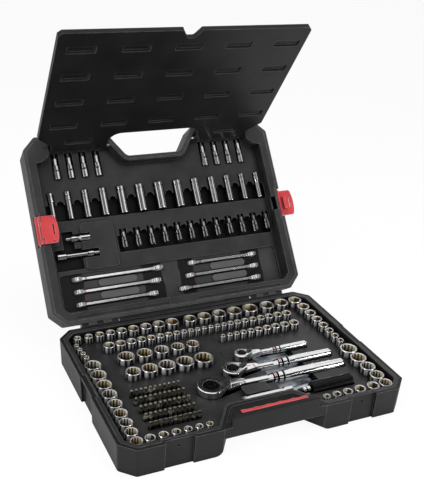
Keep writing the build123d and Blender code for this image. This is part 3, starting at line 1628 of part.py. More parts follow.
long_bit = bit_socket(bit_socket_length, bit_socket_body)
short_bit = bit_socket(short_bit_length, short_bit_body)

with BuildPart() as bit_sockets_left:
    with Locations(*[lying(x, y, tool_z, bit_socket_length) for x, y in left_bit_places]):
        add(long_bit)

save(bit_sockets_left.part, "bit_sockets_left")

with BuildPart() as bit_sockets_right:
    with Locations(*[lying(x, y, tool_z, bit_socket_length) for x, y in right_bit_places]):
        add(long_bit)

save(bit_sockets_right.part, "bit_sockets_right")

with BuildPart() as bit_sockets_row:
    with Locations(*[lying(x, y, tool_z, short_bit_length) for x, y in short_bit_places]):
        add(short_bit)

save(bit_sockets_row.part, "bit_sockets_row")


# Adapter and bit holder lying along the lid
def turned(centre, profile):
    """One turned piece from its half outline, lying along X in the lid."""
    half = profile[-1][0] / 2
    place = Plane(
        origin=lid_plane.from_local_coords((centre[0] - half, centre[1], tool_z)),
        x_dir=lid_plane.x_dir,
        z_dir=lid_plane.z_dir,
    )
    with BuildPart() as piece:
        with BuildSketch(place):
            with BuildLine():
                Polyline(*profile, close=True)
            make_face()
        revolve(axis=Axis(place.origin, place.x_dir))
    return piece.part


r = accessory_radius
adapter = turned(
    adapter_centre,
    [
        (0, 0),
        (0, r * 0.5),
        (adapter_length * 0.22, r * 0.5),
        (adapter_length * 0.22, r * 0.95),
        (adapter_length * 0.42, r * 0.95),
        (adapter_length * 0.48, r * 0.7),
        (adapter_length * 0.56, r * 0.7),
        (adapter_length * 0.62, r),
        (adapter_length - 0.8, r),
        (adapter_length, r - 0.8),
        (adapter_length, 0),
    ],
)
save(adapter, "adapter")
bit_holder = turned(
    holder_centre,
    [
        (0, 0),
        (0, r - 0.8),
        (0.8, r),
        (holder_length * 0.20, r),
        (holder_length * 0.23, r * 0.62),
        (holder_length * 0.72, r * 0.62),
        (holder_length * 0.74, r * 0.9),
        (holder_length * 0.86, r * 0.9),
        (holder_length * 0.86, r * 0.5),
        (holder_length, r * 0.5),
        (holder_length, 0),
    ],
)
save(bit_holder, "bit_holder")


# Combination wrenches standing on edge in the lid
def wrench(x, y, length):
    """One wrench: a ring end at the left, an open end at the right, a thinner web between."""
    head = wrench_head(length)
    ring = 0.85 * head
    place = Plane(
        origin=lid_plane.from_local_coords((x, y, wrench_z)), x_dir=lid_plane.x_dir, z_dir=-lid_plane.y_dir
    )
    with BuildPart() as piece:
        with BuildSketch(place):
            Rectangle(length - 1.6 * head - ring, 0.85 * head)
        extrude(amount=wrench_web / 2, both=True)
        with BuildSketch(place):
            with Locations((-length / 2 + ring, 0)):
                Circle(ring)
            with Locations((length / 2 - head, 0)):
                Circle(head)
            with Locations((length / 2 - head * 0.45, 0)):
                Rectangle(1.5 * head, 1.05 * head, rotation=15, mode=Mode.SUBTRACT)
            with Locations((-length / 2 + ring, 0)):
                RegularPolygon(0.66 * ring, 6, mode=Mode.SUBTRACT)
                RegularPolygon(0.66 * ring, 6, rotation=30, mode=Mode.SUBTRACT)
        extrude(amount=wrench_head_thickness / 2, both=True)
    return piece.part


for i, (x, y, length) in enumerate(wrench_places):
    save(wrench(x, y, length), f"wrench_{i + 1}")
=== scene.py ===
import math

import bpy
import numpy as np
from mathutils import Matrix, Vector


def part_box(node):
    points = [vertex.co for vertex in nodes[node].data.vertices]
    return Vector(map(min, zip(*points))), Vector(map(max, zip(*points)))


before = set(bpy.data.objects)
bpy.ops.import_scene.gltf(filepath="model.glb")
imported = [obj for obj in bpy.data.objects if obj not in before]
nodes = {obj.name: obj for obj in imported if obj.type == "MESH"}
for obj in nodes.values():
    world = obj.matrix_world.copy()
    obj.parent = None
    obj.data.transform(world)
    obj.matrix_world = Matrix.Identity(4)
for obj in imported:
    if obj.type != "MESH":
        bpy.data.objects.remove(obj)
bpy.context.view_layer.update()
scene = bpy.context.scene
MM = 0.001

# The lid's hinge line and its plane when open, as in the CAD source; lengths in millimetres
HINGE_Y = 170.0
RIM_Z = 46.0
LID_ANGLE = math.radians(127.4)
LID_U = Vector((0, -math.cos(LID_ANGLE), math.sin(LID_ANGLE)))
LID_N = Vector((0, -math.sin(LID_ANGLE), -math.cos(LID_ANGLE)))
LID_ORIGIN = Vector((0, HINGE_Y, RIM_Z)) * MM

# Heights in millimetres between which painted shade darkens the sockets' bore and wall towards the bottom,
# and bits change tone; all of them end at one height
SOCKET_TOP = 44.0
BORE_DEPTH = 13.0
BORE_LIP = 4.0
BORE_SHADE = (SOCKET_TOP - BORE_DEPTH, SOCKET_TOP - BORE_LIP)
BIT_FADE = (SOCKET_TOP - 2.5, SOCKET_TOP - 0.5)
WALL_SHADE = (29.0, 42.0)
MOUTH_RIM = 2.0

# A six point bore's flats lean less than this from the middle, and are told apart by where they face
HEX_LEAN = 0.3
HEX_STEP = math.pi / 3
HEX_START = math.pi / 12

# Faces of the lid's tray, in millimetres from the lid's rim along its normal
LABEL_LEVEL = -21.4
RECESS_LEVEL = -22.5
BED_LEVEL = -24.0
LID_FIT = 0.2

# The bed under the wrenches, in millimetres: its end up the lid, and the pockets painted dark as shade,
# from left to right
BED_END = 95.0
BED_POCKET_SHADES = ((-205.0, -164.0), (-55.0, -18.0), (14.0, 42.0), (142.0, 178.0))
BED_WANDER = 8.0

# Faces of the base's tray, in millimetres above the ground and from left to right
WELL_LEVEL = 30.0
TROUGH_LEVEL = 17.5
TROUGH_FIT = 0.5
TROUGH_X = (49.0, 121.0)

# Cosines that tell which way a face looks
FLAT_FACING = 0.99
TROUGH_FACING = 0.95
MOUTH_FACING = 0.4
RIM_FACING = 0.3
BORE_FACING = -0.2

# Where the dark rings and red marks lie along the ratchets, spinner and wrenches, in millimetres
RATCHET_RINGS = {
    "quarter": ((86.0, 88.0), (90.8, 93.2), (98.0, 100.4)),
    "three_eighths": ((76.0, 78.5), (82.8, 86.2), (93.0, 96.4)),
    "half": ((50.0, 53.0), (57.0, 60.5), (67.5, 71.0)),
}
RATCHET_MARKS = {
    "quarter": ((64.0, 66.0), (88.5, 90.3)),
    "three_eighths": ((33.0, 35.5), (79.2, 82.0)),
    "half": ((-2.0, 1.0), (53.6, 56.4)),
}
RATCHET_MARK_FRONT = 6.0
RATCHET_MARK_BACK = 3.0
SPINNER_RINGS = ((72.0, 79.0), (84.0, 86.0), (91.0, 94.0))
WRENCH_MARKS = {
    "wrench_1": -163.0,
    "wrench_2": -168.0,
    "wrench_3": -171.0,
    "wrench_4": 52.0,
    "wrench_5": 38.0,
    "wrench_6": 27.0,
}
WRENCH_MARK_HALF = 2.0

# Colours that several materials share
BLACK = (0.0, 0.0, 0.0)
RING_BLACK = (0.012, 0.012, 0.013)
MARK_RED = (0.50, 0.05, 0.07)
MARK_STRENGTH = 0.65

# Noise scales, in patches to the metre
PLASTIC_MOTTLE = 24.0
PLASTIC_SCUFFS = 90.0
PLASTIC_SHEEN = 55.0
PLASTIC_GRAIN = 1500.0
METAL_MOTTLE = 60.0
METAL_SHEEN = 300.0

# Depths of grain, rounding of metal edges and reach of the painted shade in metal creases, in metres
PLASTIC_GRAIN_DEPTH = 0.0002
METAL_GRAIN_DEPTH = 0.0001
METAL_EDGE = 0.0003
MARKED_EDGE = 0.0004
METAL_CREASE_SHADE = 0.004

# The studio, in metres and degrees
STUDIO_MIDDLE = (0, 0.05, 0.1)
STRIP_TARGET = (0, 0, 0.05)
FLOOR_SIZE = 12
FLOOR_HEIGHT = -0.0002
FLOOR_GLOW = 0.92
SKY_STRENGTH = 0.45
CARDS = ((-57, 1.7), (-120, 1.4), (-12, 1.4), (-165, 0.9), (25, 0.9))
CARD_ELEVATION = 31
CARD_DISTANCE = 2.6
CARD_HEIGHT = 1.6

# The camera, worked out from the photograph's edges: yaw, pitch and roll in degrees, place in metres
CAMERA_TURN = (-26.28, -25.17, -3.77)
CAMERA_PLACE = (-0.5316, -0.9933, 0.7633)
FOCAL_PIXELS = 830.88
PHOTO_HEIGHT = 500
SENSOR_HEIGHT = 24.0


class Shader:
    """A principled material with a few texture nodes."""

    def __init__(self, name):
        self.mat = bpy.data.materials.new(name)
        self.mat.use_nodes = True
        self.tree = self.mat.node_tree
        self.bsdf = self.tree.nodes["Principled BSDF"]
        self.texture = self.tree.nodes.new("ShaderNodeTexCoord")
        self.coord = self.texture.outputs["Object"]

    def link(self, out, socket):
        self.tree.links.new(out, socket)

    def set(self, **values):
        """Set constants on the principled shader's own sockets."""
        for key, value in values.items():
            self.bsdf.inputs[key.replace("_", " ")].default_value = value

    def axis(self, letter):
        """One of the object's own coordinates, in metres."""
        node = self.tree.nodes.new("ShaderNodeSeparateXYZ")
        self.link(self.coord, node.inputs[0])
        return node.outputs[letter]

    def math(self, operation, *values):
        """Reckon with sockets and numbers."""
        node = self.tree.nodes.new("ShaderNodeMath")
        node.operation = operation
        for socket, value in zip(node.inputs, values):
            if isinstance(value, (int, float)):
                socket.default_value = value
            else:
                self.link(value, socket)
        return node.outputs[0]

    def dot(self, vector, direction):
        """How far a vector goes along a direction, which is a socket or fixed."""
        node = self.tree.nodes.new("ShaderNodeVectorMath")
        node.operation = "DOT_PRODUCT"
        self.link(vector, node.inputs[0])
        if isinstance(direction, (tuple, Vector)):
            node.inputs[1].default_value = direction
        else:
            self.link(direction, node.inputs[1])
        return node.outputs["Value"]

    def band(self, value, low, high):
        """One where a value lies between two bounds in millimetres, nought elsewhere."""
        return self.math("COMPARE", value, (low * MM + high * MM) / 2, (high * MM - low * MM) / 2)

    def noise(self, scale, detail=3.0, rough=0.55, stretch=None):
        """Cloudy noise, which may be stretched along the axes."""
        vector = self.coord
        if stretch:
            mapping = self.tree.nodes.new("ShaderNodeMapping")
            mapping.inputs["Scale"].default_value = stretch
            self.link(self.coord, mapping.inputs["Vector"])
            vector = mapping.outputs["Vector"]
        node = self.tree.nodes.new("ShaderNodeTexNoise")
        node.inputs["Scale"].default_value = scale
        node.inputs["Detail"].default_value = detail
        node.inputs["Roughness"].default_value = rough
        self.link(vector, node.inputs["Vector"])
        return node.outputs["Fac"]

    def ramp(self, fac, *stops):
        """Colours along a value, each stop a place and a colour."""
        node = self.tree.nodes.new("ShaderNodeValToRGB")
        ramp = node.color_ramp
        while len(ramp.elements) < len(stops):
            ramp.elements.new(0.5)
        for element, (place, colour) in zip(ramp.elements, stops):
            element.position = place
            element.color = (*colour, 1)
        self.link(fac, node.inputs["Fac"])
        return node.outputs["Color"]

    def level(self, fac, low, high, start=0.0, end=1.0):
        """Carry a value that runs from start to end over to low and high, and hold it between them."""
        node = self.tree.nodes.new("ShaderNodeMapRange")
        node.inputs["From Min"].default_value = start
        node.inputs["From Max"].default_value = end
        node.inputs["To Min"].default_value = low
        node.inputs["To Max"].default_value = high
        self.link(fac, node.inputs["Value"])
        return node.outputs["Result"]

    def rise(self, heights, low=0.0):
        """A value that grows to one between two heights in millimetres."""
        return self.level(self.axis("Z"), low, 1.0, start=heights[0] * MM, end=heights[1] * MM)

    def mix(self, fac, first, second):
        """Mix two colours, each a socket or a tuple."""
        node = self.tree.nodes.new("ShaderNodeMix")
        node.data_type = "RGBA"
        sockets = [s for s in node.inputs if s.enabled]
        for socket, value in zip(sockets, (fac, first, second)):
            if isinstance(value, tuple):
                socket.default_value = (*value, 1)
            else:
                self.link(value, socket)
        return [s for s in node.outputs if s.enabled][0]

    def rounded(self, radius):
        """The normal as it would be with the edges rounded off."""
        node = self.tree.nodes.new("ShaderNodeBevel")
        node.samples = 6
        node.inputs["Radius"].default_value = radius
        return node.outputs["Normal"]

    def edges(self, normal):
        """One along sharp edges, from how far the rounded normal leaves the face's own."""
        flat = self.tree.nodes.new("ShaderNodeNewGeometry").outputs["Normal"]
        return self.level(self.dot(normal, flat), 0.0, 1.0, start=0.985, end=0.86)

    def open_air(self, reach, closed=0.25):
        """How much open air a point sees within reach: one on open faces, less in corners and gaps, where
        it is used to paint shade.
        """
        node = self.tree.nodes.new("ShaderNodeAmbientOcclusion")
        node.samples = 8
        node.inputs["Distance"].default_value = reach
        return self.level(node.outputs["AO"], 0.2, 1.0, start=closed, end=0.95)

    def painted_reflection_stripes(self, first, second, fine, low, high):
        """Painted reflections: light and dark in turn round an axis, by where the surface faces between two
        directions.
        """
        facing = self.texture.outputs["Normal"]
        angle = self.math("ARCTAN2", self.dot(facing, second), self.dot(facing, first))
        small = self.math("COSINE", self.math("MULTIPLY", angle, fine))
        large = self.math("COSINE", self.math("MULTIPLY_ADD", angle, 3.0, math.pi / 4))
        both = self.math("MULTIPLY_ADD", small, 0.6, self.math("MULTIPLY", large, 0.5))
        return self.level(both, 0.0, 1.0, start=low, end=high)

    def bump(self, height, strength, distance, normal=None):
        """Roughen the surface by a height, on top of a normal where one is given."""
        node = self.tree.nodes.new("ShaderNodeBump")
        node.inputs["Strength"].default_value = strength
        node.inputs["Distance"].default_value = distance
        self.link(height, node.inputs["Height"])
        if normal:
            self.link(normal, node.inputs["Normal"])
        self.link(node.outputs["Normal"], self.bsdf.inputs["Normal"])

    def colour(self, socket):
        self.link(socket, self.bsdf.inputs["Base Color"])

    def roughness(self, socket):
        self.link(socket, self.bsdf.inputs["Roughness"])

    def polish(self, rough):
        """A metal's roughness, which wanders a little about one value."""
        self.roughness(self.level(self.noise(METAL_SHEEN), rough * 0.85, rough * 1.2))


def plastic(
    name,
    dark,
    light,
    wear_and_highlight,
    rough,
    shine=0.3,
    grain=PLASTIC_GRAIN,
    depth=0.25,
    edge=0.0015,
    coat=0.0,
    reach=0.014,
    closed=0.25,
):
    """Moulded plastic: mottled colour, fine grain, edges painted paler as highlight and patchy wear, and
    corners painted darker as shade.
    """
    s = Shader(name)
    normal = s.rounded(edge)
    body = s.ramp(s.noise(PLASTIC_MOTTLE, detail=5.0), (0.3, dark), (0.75, light))
    # Edges are painted paler, partly as highlight and partly as patchy wear
    patches = s.level(s.noise(PLASTIC_SCUFFS, detail=4.0), 0.35, 1.0, start=0.35, end=0.65)
    edge_wear_and_highlight = s.math("MULTIPLY", s.edges(normal), patches)
    # Corners and gaps are painted darker as shade
    s.colour(s.mix(s.open_air(reach, closed), BLACK, s.mix(edge_wear_and_highlight, body, wear_and_highlight)))
    s.roughness(s.level(s.noise(PLASTIC_SHEEN, detail=5.0), rough - 0.07, rough + 0.08))
    s.bump(s.noise(grain, detail=2.0), depth, PLASTIC_GRAIN_DEPTH, normal)
    s.set(Specular_IOR_Level=shine)
    if coat:
        s.set(Coat_Weight=coat, Coat_Roughness=0.06)
    return s.mat


def metal(name, dark, light, rough):
    """Polished metal with a faint mottle and softened edges."""
    s = Shader(name)
    s.set(Metallic=1.0)
    s.colour(s.ramp(s.noise(METAL_MOTTLE), (0.3, dark), (0.7, light)))
    s.polish(rough)
    s.link(s.rounded(METAL_EDGE), s.bsdf.inputs["Normal"])
    return s.mat


def turned_metal_with_painted_reflections(name, along, first, second, dark, light, rough, metallic, fine, low, high, shade_heights=None):
    """A turned chrome piece: painted reflections in light and dark bands along its length, painted shade
    towards the bottom where heights are given and in creases; highlights drawn out the same way.
    """
    s = Shader(name)
    s.set(Metallic=metallic, Anisotropic=0.8)
    mottle = s.math("MULTIPLY_ADD", s.noise(120.0), 0.2, -0.1)
    # Light and dark bands painted round the axis stand for reflections
    painted_reflections = s.math("ADD", s.painted_reflection_stripes(first, second, fine, low, high), mottle)
    # Painted shade darkens the bands towards the bottom
    if shade_heights:
        painted_reflections = s.math("MULTIPLY", painted_reflections, s.rise(shade_heights, low=0.2))
    # Creases are painted darker as shade
    s.colour(s.mix(s.open_air(METAL_CREASE_SHADE), BLACK, s.mix(painted_reflections, dark, light)))
    s.polish(rough)
    node = s.tree.nodes.new("ShaderNodeCombineXYZ")
    for socket, value in zip(node.inputs, along):
        socket.default_value = value
    s.link(node.outputs[0], s.bsdf.inputs["Tangent"])
    s.link(s.rounded(METAL_EDGE), s.bsdf.inputs["Normal"])
    return s.mat


def bore_metal(name, deep_shade, wall):
    """A lit or a shaded copy of the golden metal on one side of a bore's flutes, painted darker with shade
    towards the bottom.
    """
    s = Shader(name)
    s.set(Metallic=0.45)
    # Painted shade grows darker towards the bore's floor
    height = s.math("SUBTRACT", s.rise(BORE_SHADE), 0.2)
    wander = s.math("MULTIPLY_ADD", s.noise(150.0, detail=2.0), 0.4, height)
    s.colour(s.mix(wander, deep_shade, wall))
    s.roughness(s.level(s.noise(METAL_SHEEN, detail=2.0), 0.20, 0.32))
    return s.mat


def marked_metal(name, rings, marks=(), span=(0.0, 0.0), metallic=1.0):
    """Chrome with dark rings all round, and red marks that lie in a span from front to back."""
    s = Shader(name)
    s.set(Metallic=metallic)
    place = s.axis("X")
    body = s.ramp(s.noise(METAL_MOTTLE), (0.3, (0.74, 0.74, 0.75)), (0.7, (0.88, 0.88, 0.88)))
    for ring in rings:
        body = s.mix(s.band(place, *ring), body, RING_BLACK)
    for mark in marks:
        spot = s.math("MULTIPLY", s.band(place, *mark), s.band(s.axis("Y"), *span))
        body = s.mix(s.math("MULTIPLY", spot, MARK_STRENGTH), body, MARK_RED)
    s.colour(body)
    s.roughness(s.level(s.noise(METAL_SHEEN), 0.09, 0.15))
    s.bump(s.noise(500.0, detail=2.0), 0.03, METAL_GRAIN_DEPTH, s.rounded(MARKED_EDGE))
    return s.mat


def bit_metal():
    """Bits: dark bronze shanks, no two alike, with brighter tips."""
    s = Shader("bit_steel")
    s.set(Metallic=1.0)
    shank = s.ramp(
        s.noise(85.0, detail=1.0),
        (0.34, (0.05, 0.048, 0.042)),
        (0.46, (0.30, 0.27, 0.20)),
        (0.54, (0.09, 0.10, 0.11)),
        (0.66, (0.62, 0.58, 0.47)),
    )
    s.colour(s.mix(s.rise(BIT_FADE), shank, (0.92, 0.88, 0.74)))
    s.roughness(s.level(s.noise(260.0), 0.22, 0.38))
    s.bump(s.noise(700.0, detail=2.0), 0.05, METAL_GRAIN_DEPTH, s.rounded(METAL_EDGE))
    return s.mat


def glare_plastic():
    """The polished floor of the finger trough, streaked with pale patches of painted reflection."""
    s = Shader("trough_glare")
    s.colour(
        s.ramp(
            s.noise(60.0, rough=0.5, stretch=(0.6, 1.4, 1.0)),
            (0.36, (0.030, 0.031, 0.034)),
            (0.47, (0.22, 0.24, 0.265)),
            (0.62, (0.54, 0.575, 0.62)),
        )
    )
    s.roughness(s.level(s.noise(140.0), 0.10, 0.30))
    s.bump(s.noise(90.0), 0.3, 0.0006)
    s.set(Specular_IOR_Level=0.5)
    return s.mat


def bed_plastic():
    """The bed under the wrenches: grey plastic with shade painted dark over the pockets where their ends
    lie.
    """
    s = Shader("bed_black")
    place = s.math("MULTIPLY_ADD", s.noise(40.0, detail=2.0), BED_WANDER * MM, s.axis("X"))
    mottle = s.noise(PLASTIC_MOTTLE, detail=5.0)
    body = s.ramp(mottle, (0.3, (0.022, 0.022, 0.022)), (0.75, (0.042, 0.042, 0.0415)))
    # Painted shade over the pockets where the wrench ends lie
    for pocket_shade in BED_POCKET_SHADES:
        body = s.mix(s.band(place, *pocket_shade), body, (0.003, 0.003, 0.0031))
    s.colour(body)
    s.roughness(s.level(s.noise(PLASTIC_SHEEN, detail=5.0), 0.33, 0.48))
    s.bump(s.noise(PLASTIC_GRAIN, detail=2.0), 0.25, PLASTIC_GRAIN_DEPTH)
    s.set(Specular_IOR_Level=0.24)
    return s.mat


# Plastics
case_black = plastic(
    "case_black",
    dark=(0.005, 0.005, 0.0052),
    light=(0.010, 0.010, 0.0103),
    wear_and_highlight=(0.15, 0.148, 0.145),
    rough=0.45,
    shine=0.22,
)
# The lid's rim faces, painted lighter as sheen
lid_rim_sheen = plastic(
    "lid_rim_sheen",
    dark=(0.026, 0.026, 0.0260),
    light=(0.040, 0.040, 0.0398),
    wear_and_highlight=(0.20, 0.198, 0.195),
    rough=0.40,
    shine=0.30,
)
tray_black = plastic(
    "tray_black",
    dark=(0.016, 0.016, 0.0160),
    light=(0.031, 0.031, 0.0306),
    wear_and_highlight=(0.17, 0.168, 0.165),
    rough=0.34,
    shine=0.26,
    closed=0.42,
)
bed_black = bed_plastic()
# Painted shade for the lid's recesses and the base's wells
recess_shade = plastic(
    "recess_shade",
    dark=(0.002, 0.002, 0.0021),
    light=(0.004, 0.004, 0.0042),
    wear_and_highlight=(0.06, 0.06, 0.06),
    rough=0.40,
    shine=0.16,
)
flap_black = plastic(
    "flap_black",
    dark=(0.004, 0.004, 0.0041),
    light=(0.009, 0.009, 0.0091),
    wear_and_highlight=(0.12, 0.12, 0.118),
    rough=0.38,
    shine=0.20,
    reach=0.004,
)
label_grey = plastic(
    "label_grey",
    dark=(0.064, 0.064, 0.065),
    light=(0.086, 0.086, 0.087),
    wear_and_highlight=(0.16, 0.16, 0.16),
    rough=0.5,
)
red = plastic(
    "red_plastic",
    dark=(0.36, 0.020, 0.026),
    light=(0.56, 0.055, 0.060),
    wear_and_highlight=(0.90, 0.42, 0.42),
    rough=0.34,
    shine=0.40,
    grain=900.0,
    depth=0.12,
    edge=0.0012,
    reach=0.0025,
    closed=0.55,
)
grip_black = plastic(
    "grip_black",
    dark=(0.002, 0.002, 0.0021),
    light=(0.004, 0.004, 0.0042),
    wear_and_highlight=(0.10, 0.10, 0.10),
    rough=0.16,
    shine=0.10,
    grain=300.0,
    depth=0.02,
    edge=0.0007,
    coat=0.05,
)

# Metals
chrome = metal("chrome", dark=(0.66, 0.66, 0.67), light=(0.82, 0.82, 0.82), rough=0.08)
# Chromes with painted reflections
upright_chrome = turned_metal_with_painted_reflections(
    "upright_chrome",
    along=(0, 0, 1),
    first=(1, 0, 0),
    second=(0, 1, 0),
    dark=(0.02, 0.02, 0.021),
    light=(0.84, 0.84, 0.84),
    rough=0.20,
    metallic=0.70,
    fine=8.0,
    low=-0.3,
    high=0.5,
    shade_heights=WALL_SHADE,
)
lid_chrome = turned_metal_with_painted_reflections(
    "lid_chrome",
    along=LID_U,
    first=(1, 0, 0),
    second=LID_N,
    dark=(0.03, 0.029, 0.029),
    light=(0.96, 0.96, 0.96),
    rough=0.10,
    metallic=0.90,
    fine=5.0,
    low=-0.15,
    high=0.6,
)
row_chrome = turned_metal_with_painted_reflections(
    "row_chrome",
    along=LID_U,
    first=(1, 0, 0),
    second=LID_N,
    dark=(0.012, 0.012, 0.012),
    light=(0.80, 0.80, 0.80),
    rough=0.12,
    metallic=0.90,
    fine=5.0,
    low=0.0,
    high=0.70,
)
lying_chrome = turned_metal_with_painted_reflections(
    "lying_chrome",
    along=(1, 0, 0),
    first=LID_U,
    second=LID_N,
    dark=(0.02, 0.02, 0.02),
    light=(0.95, 0.95, 0.95),
    rough=0.10,
    metallic=0.90,
    fine=5.0,
    low=-0.1,
    high=0.5,
)
rim_chrome = metal("rim_chrome", dark=(0.60, 0.60, 0.59), light=(0.88, 0.88, 0.87), rough=0.28)
lever_grey = metal("lever_grey", dark=(0.07, 0.07, 0.072), light=(0.15, 0.15, 0.152), rough=0.32)
black_steel = metal("black_steel", dark=(0.012, 0.012, 0.013), light=(0.035, 0.035, 0.036), rough=0.26)
pin_steel = metal("pin_steel", dark=(0.30, 0.30, 0.30), light=(0.50, 0.50, 0.50), rough=0.30)
# Painted shade for each socket bore's floor
bore_floor_shade = metal("bore_floor_shade", dark=(0.012, 0.010, 0.008), light=(0.03, 0.027, 0.022), rough=0.5)
# Lit and shaded copies of each golden tone, painted light and shade on the flutes
lit_and_shaded_bores = [
    bore_metal("bore_gold_lit", deep_shade=(0.05, 0.034, 0.016), wall=(0.92, 0.76, 0.48)),
    bore_metal("bore_gold_shaded", deep_shade=(0.02, 0.013, 0.006), wall=(0.11, 0.066, 0.024)),
    bore_metal("bore_tan_lit", deep_shade=(0.05, 0.038, 0.022), wall=(0.92, 0.81, 0.59)),
    bore_metal("bore_tan_shaded", deep_shade=(0.02, 0.014, 0.008), wall=(0.08, 0.054, 0.027)),
    bore_metal("bore_pale_lit", deep_shade=(0.05, 0.042, 0.030), wall=(0.96, 0.90, 0.77)),
    bore_metal("bore_pale_shaded", deep_shade=(0.02, 0.016, 0.011), wall=(0.06, 0.048, 0.033)),
]
bit_steel = bit_metal()
trough_glare = glare_plastic()


def paint(name, *mats):
    """Give a node its materials; the first one shows until faces are picked for the others."""
    mesh = nodes[name].data
    mesh.materials.clear()
    for mat in mats:
        mesh.materials.append(mat)


# Which node has which material: by its name, else by the end of its name, else chrome
PLAIN = {
    "base_shell": case_black,
    "lid_shell": case_black,
    "base_tray": tray_black,
    "lid_tray": tray_black,
    "flap": flap_black,
    "grip_insert": red,
    "latch_left": red,
    "latch_right": red,
    "spinner_grip": grip_black,
    "bits": bit_steel,
    "adapter": lying_chrome,
    "bit_holder": lying_chrome,
    "bit_sockets_left": lid_chrome,
    "bit_sockets_right": lid_chrome,
    "bit_sockets_row": row_chrome,
}
ENDINGS = {
    "_drive": black_steel,
    "_pawl": black_steel,
    "_button": black_steel,
    "_lever": lever_grey,
    "_pins": pin_steel,
}
for name in nodes:
    ending = "_" + name.split("_")[-1]
    paint(name, PLAIN.get(name) or ENDINGS.get(ending) or chrome)

# Rings and marks
for size in RATCHET_RINGS:
    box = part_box(f"ratchet_{size}_body")
    middle = (box[0][1] + box[1][1]) / 2 / MM
    span = (middle - RATCHET_MARK_FRONT, middle + RATCHET_MARK_BACK)
    mat = marked_metal(f"ratchet_{size}", RATCHET_RINGS[size], RATCHET_MARKS[size], span)
    paint(f"ratchet_{size}_body", mat)
paint("spinner_shaft", marked_metal("spinner_chrome", SPINNER_RINGS))
for name, place in WRENCH_MARKS.items():
    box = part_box(name)
    span = (box[0][1] / MM, box[1][1] / MM)
    mark = (place - WRENCH_MARK_HALF, place + WRENCH_MARK_HALF)
    paint(name, marked_metal(name + "_chrome", (), (mark,), span, metallic=0.8))


def islands(mesh):
    """For each vertex, the number of the solid that it belongs to."""
    parent = list(range(len(mesh.vertices)))

    def root(i):
        while parent[i] != i:
            parent[i] = parent[parent[i]]
            i = parent[i]
        return i

    keys = {}
    for v in mesh.vertices:
        key = (round(v.co.x, 6), round(v.co.y, 6), round(v.co.z, 6))
        if key in keys:
            parent[root(v.index)] = root(keys[key])
        else:
            keys[key] = v.index
    for p in mesh.polygons:
        first = root(p.vertices[0])
        for i in p.vertices[1:]:
            parent[root(i)] = first
    return np.unique([root(i) for i in range(len(mesh.vertices))], return_inverse=True)[1]


def flute_lit_or_shaded(outward, normal, axis):
    """Whether a face gets a bore's lit or shaded copy, so that neighbouring flats differ in painted light
    and shade.
    """
    lean = np.cross(outward, normal).dot(axis)
    if abs(lean) > HEX_LEAN:
        return int(lean > 0)
    return math.floor((math.atan2(normal[1], normal[0]) + HEX_START) / HEX_STEP) % 2


def paint_sockets(name, axis, outer, top, deep_shade, inner):
    """Outside, mouth rim, bore floor in painted shade and the lit and shaded copies on the two sides of
    each flute; the tones go round in turn from bore to bore.
    """
    paint(name, outer, top, deep_shade, *inner)
    mesh = nodes[name].data
    group = islands(mesh)
    points = np.array([v.co for v in mesh.vertices])
    axis = np.array(axis)
    solids = [points[group == g] for g in range(group.max() + 1)]
    middles = [(solid.min(0) + solid.max(0)) / 2 for solid in solids]
    ends = [(solid @ axis).max() for solid in solids]
    for p in mesh.polygons:
        g = int(group[p.vertices[0]])
        away = np.array(p.center) - middles[g]
        away = away - axis * away.dot(axis)
        outward = away / max(np.linalg.norm(away), 1e-9)
        normal = np.array(p.normal)
        drop = ends[g] - np.array(p.center).dot(axis)
        if normal.dot(axis) > MOUTH_FACING:
            p.material_index = 1 if drop < MOUTH_RIM * MM else 2
        elif normal.dot(outward) < BORE_FACING:
            p.material_index = 3 + (2 * g + flute_lit_or_shaded(outward, normal, axis)) % len(inner)


for name in nodes:
    if name.startswith("sockets_"):
        paint_sockets(name, (0, 0, 1), upright_chrome, rim_chrome, bore_floor_shade, lit_and_shaded_bores)
# Every face inside these sockets' bore is painted shade
paint_sockets("deep_sockets", LID_U, lid_chrome, rim_chrome, bore_floor_shade, [bore_floor_shade])


def paint_faces(name, mat, chosen):
    """Give the faces that a test picks their own material."""
    mesh = nodes[name].data
    mesh.materials.append(mat)
    for p in mesh.polygons:
        if chosen(p):
            p.material_index = len(mesh.materials) - 1


def lid_level(p):
    """How far a face lies from the lid's rim along its normal, in millimetres."""
    return (p.center - LID_ORIGIN).dot(LID_N) / MM


def lies_flat(p, level):
    """Whether a face lies flat in the lid at a level."""
    return p.normal.dot(LID_N) > FLAT_FACING and abs(lid_level(p) - level) < LID_FIT


def is_lid_rim(p):
    return p.normal.dot(LID_N) > RIM_FACING


def is_recess(p):
    return lid_level(p) < RECESS_LEVEL


def is_bed(p):
    return lies_flat(p, BED_LEVEL) and (p.center - LID_ORIGIN).dot(LID_U) / MM < BED_END


def is_label(p):
    return lies_flat(p, LABEL_LEVEL)


def is_well(p):
    return p.center.z / MM < WELL_LEVEL


def is_trough(p):
    inside = TROUGH_X[0] < p.center.x / MM < TROUGH_X[1]
    return inside and p.normal.z > TROUGH_FACING and abs(p.center.z / MM - TROUGH_LEVEL) < TROUGH_FIT


# The lid's rim faces get the painted sheen
paint_faces("lid_shell", lid_rim_sheen, is_lid_rim)
# Recesses in the lid's tray get painted shade
paint_faces("lid_tray", recess_shade, is_recess)
paint_faces("lid_tray", bed_black, is_bed)
paint_faces("lid_tray", label_grey, is_label)
# Wells in the base's tray get painted shade
paint_faces("base_tray", recess_shade, is_well)
# The trough's floor gets painted reflections
paint_faces("base_tray", trough_glare, is_trough)


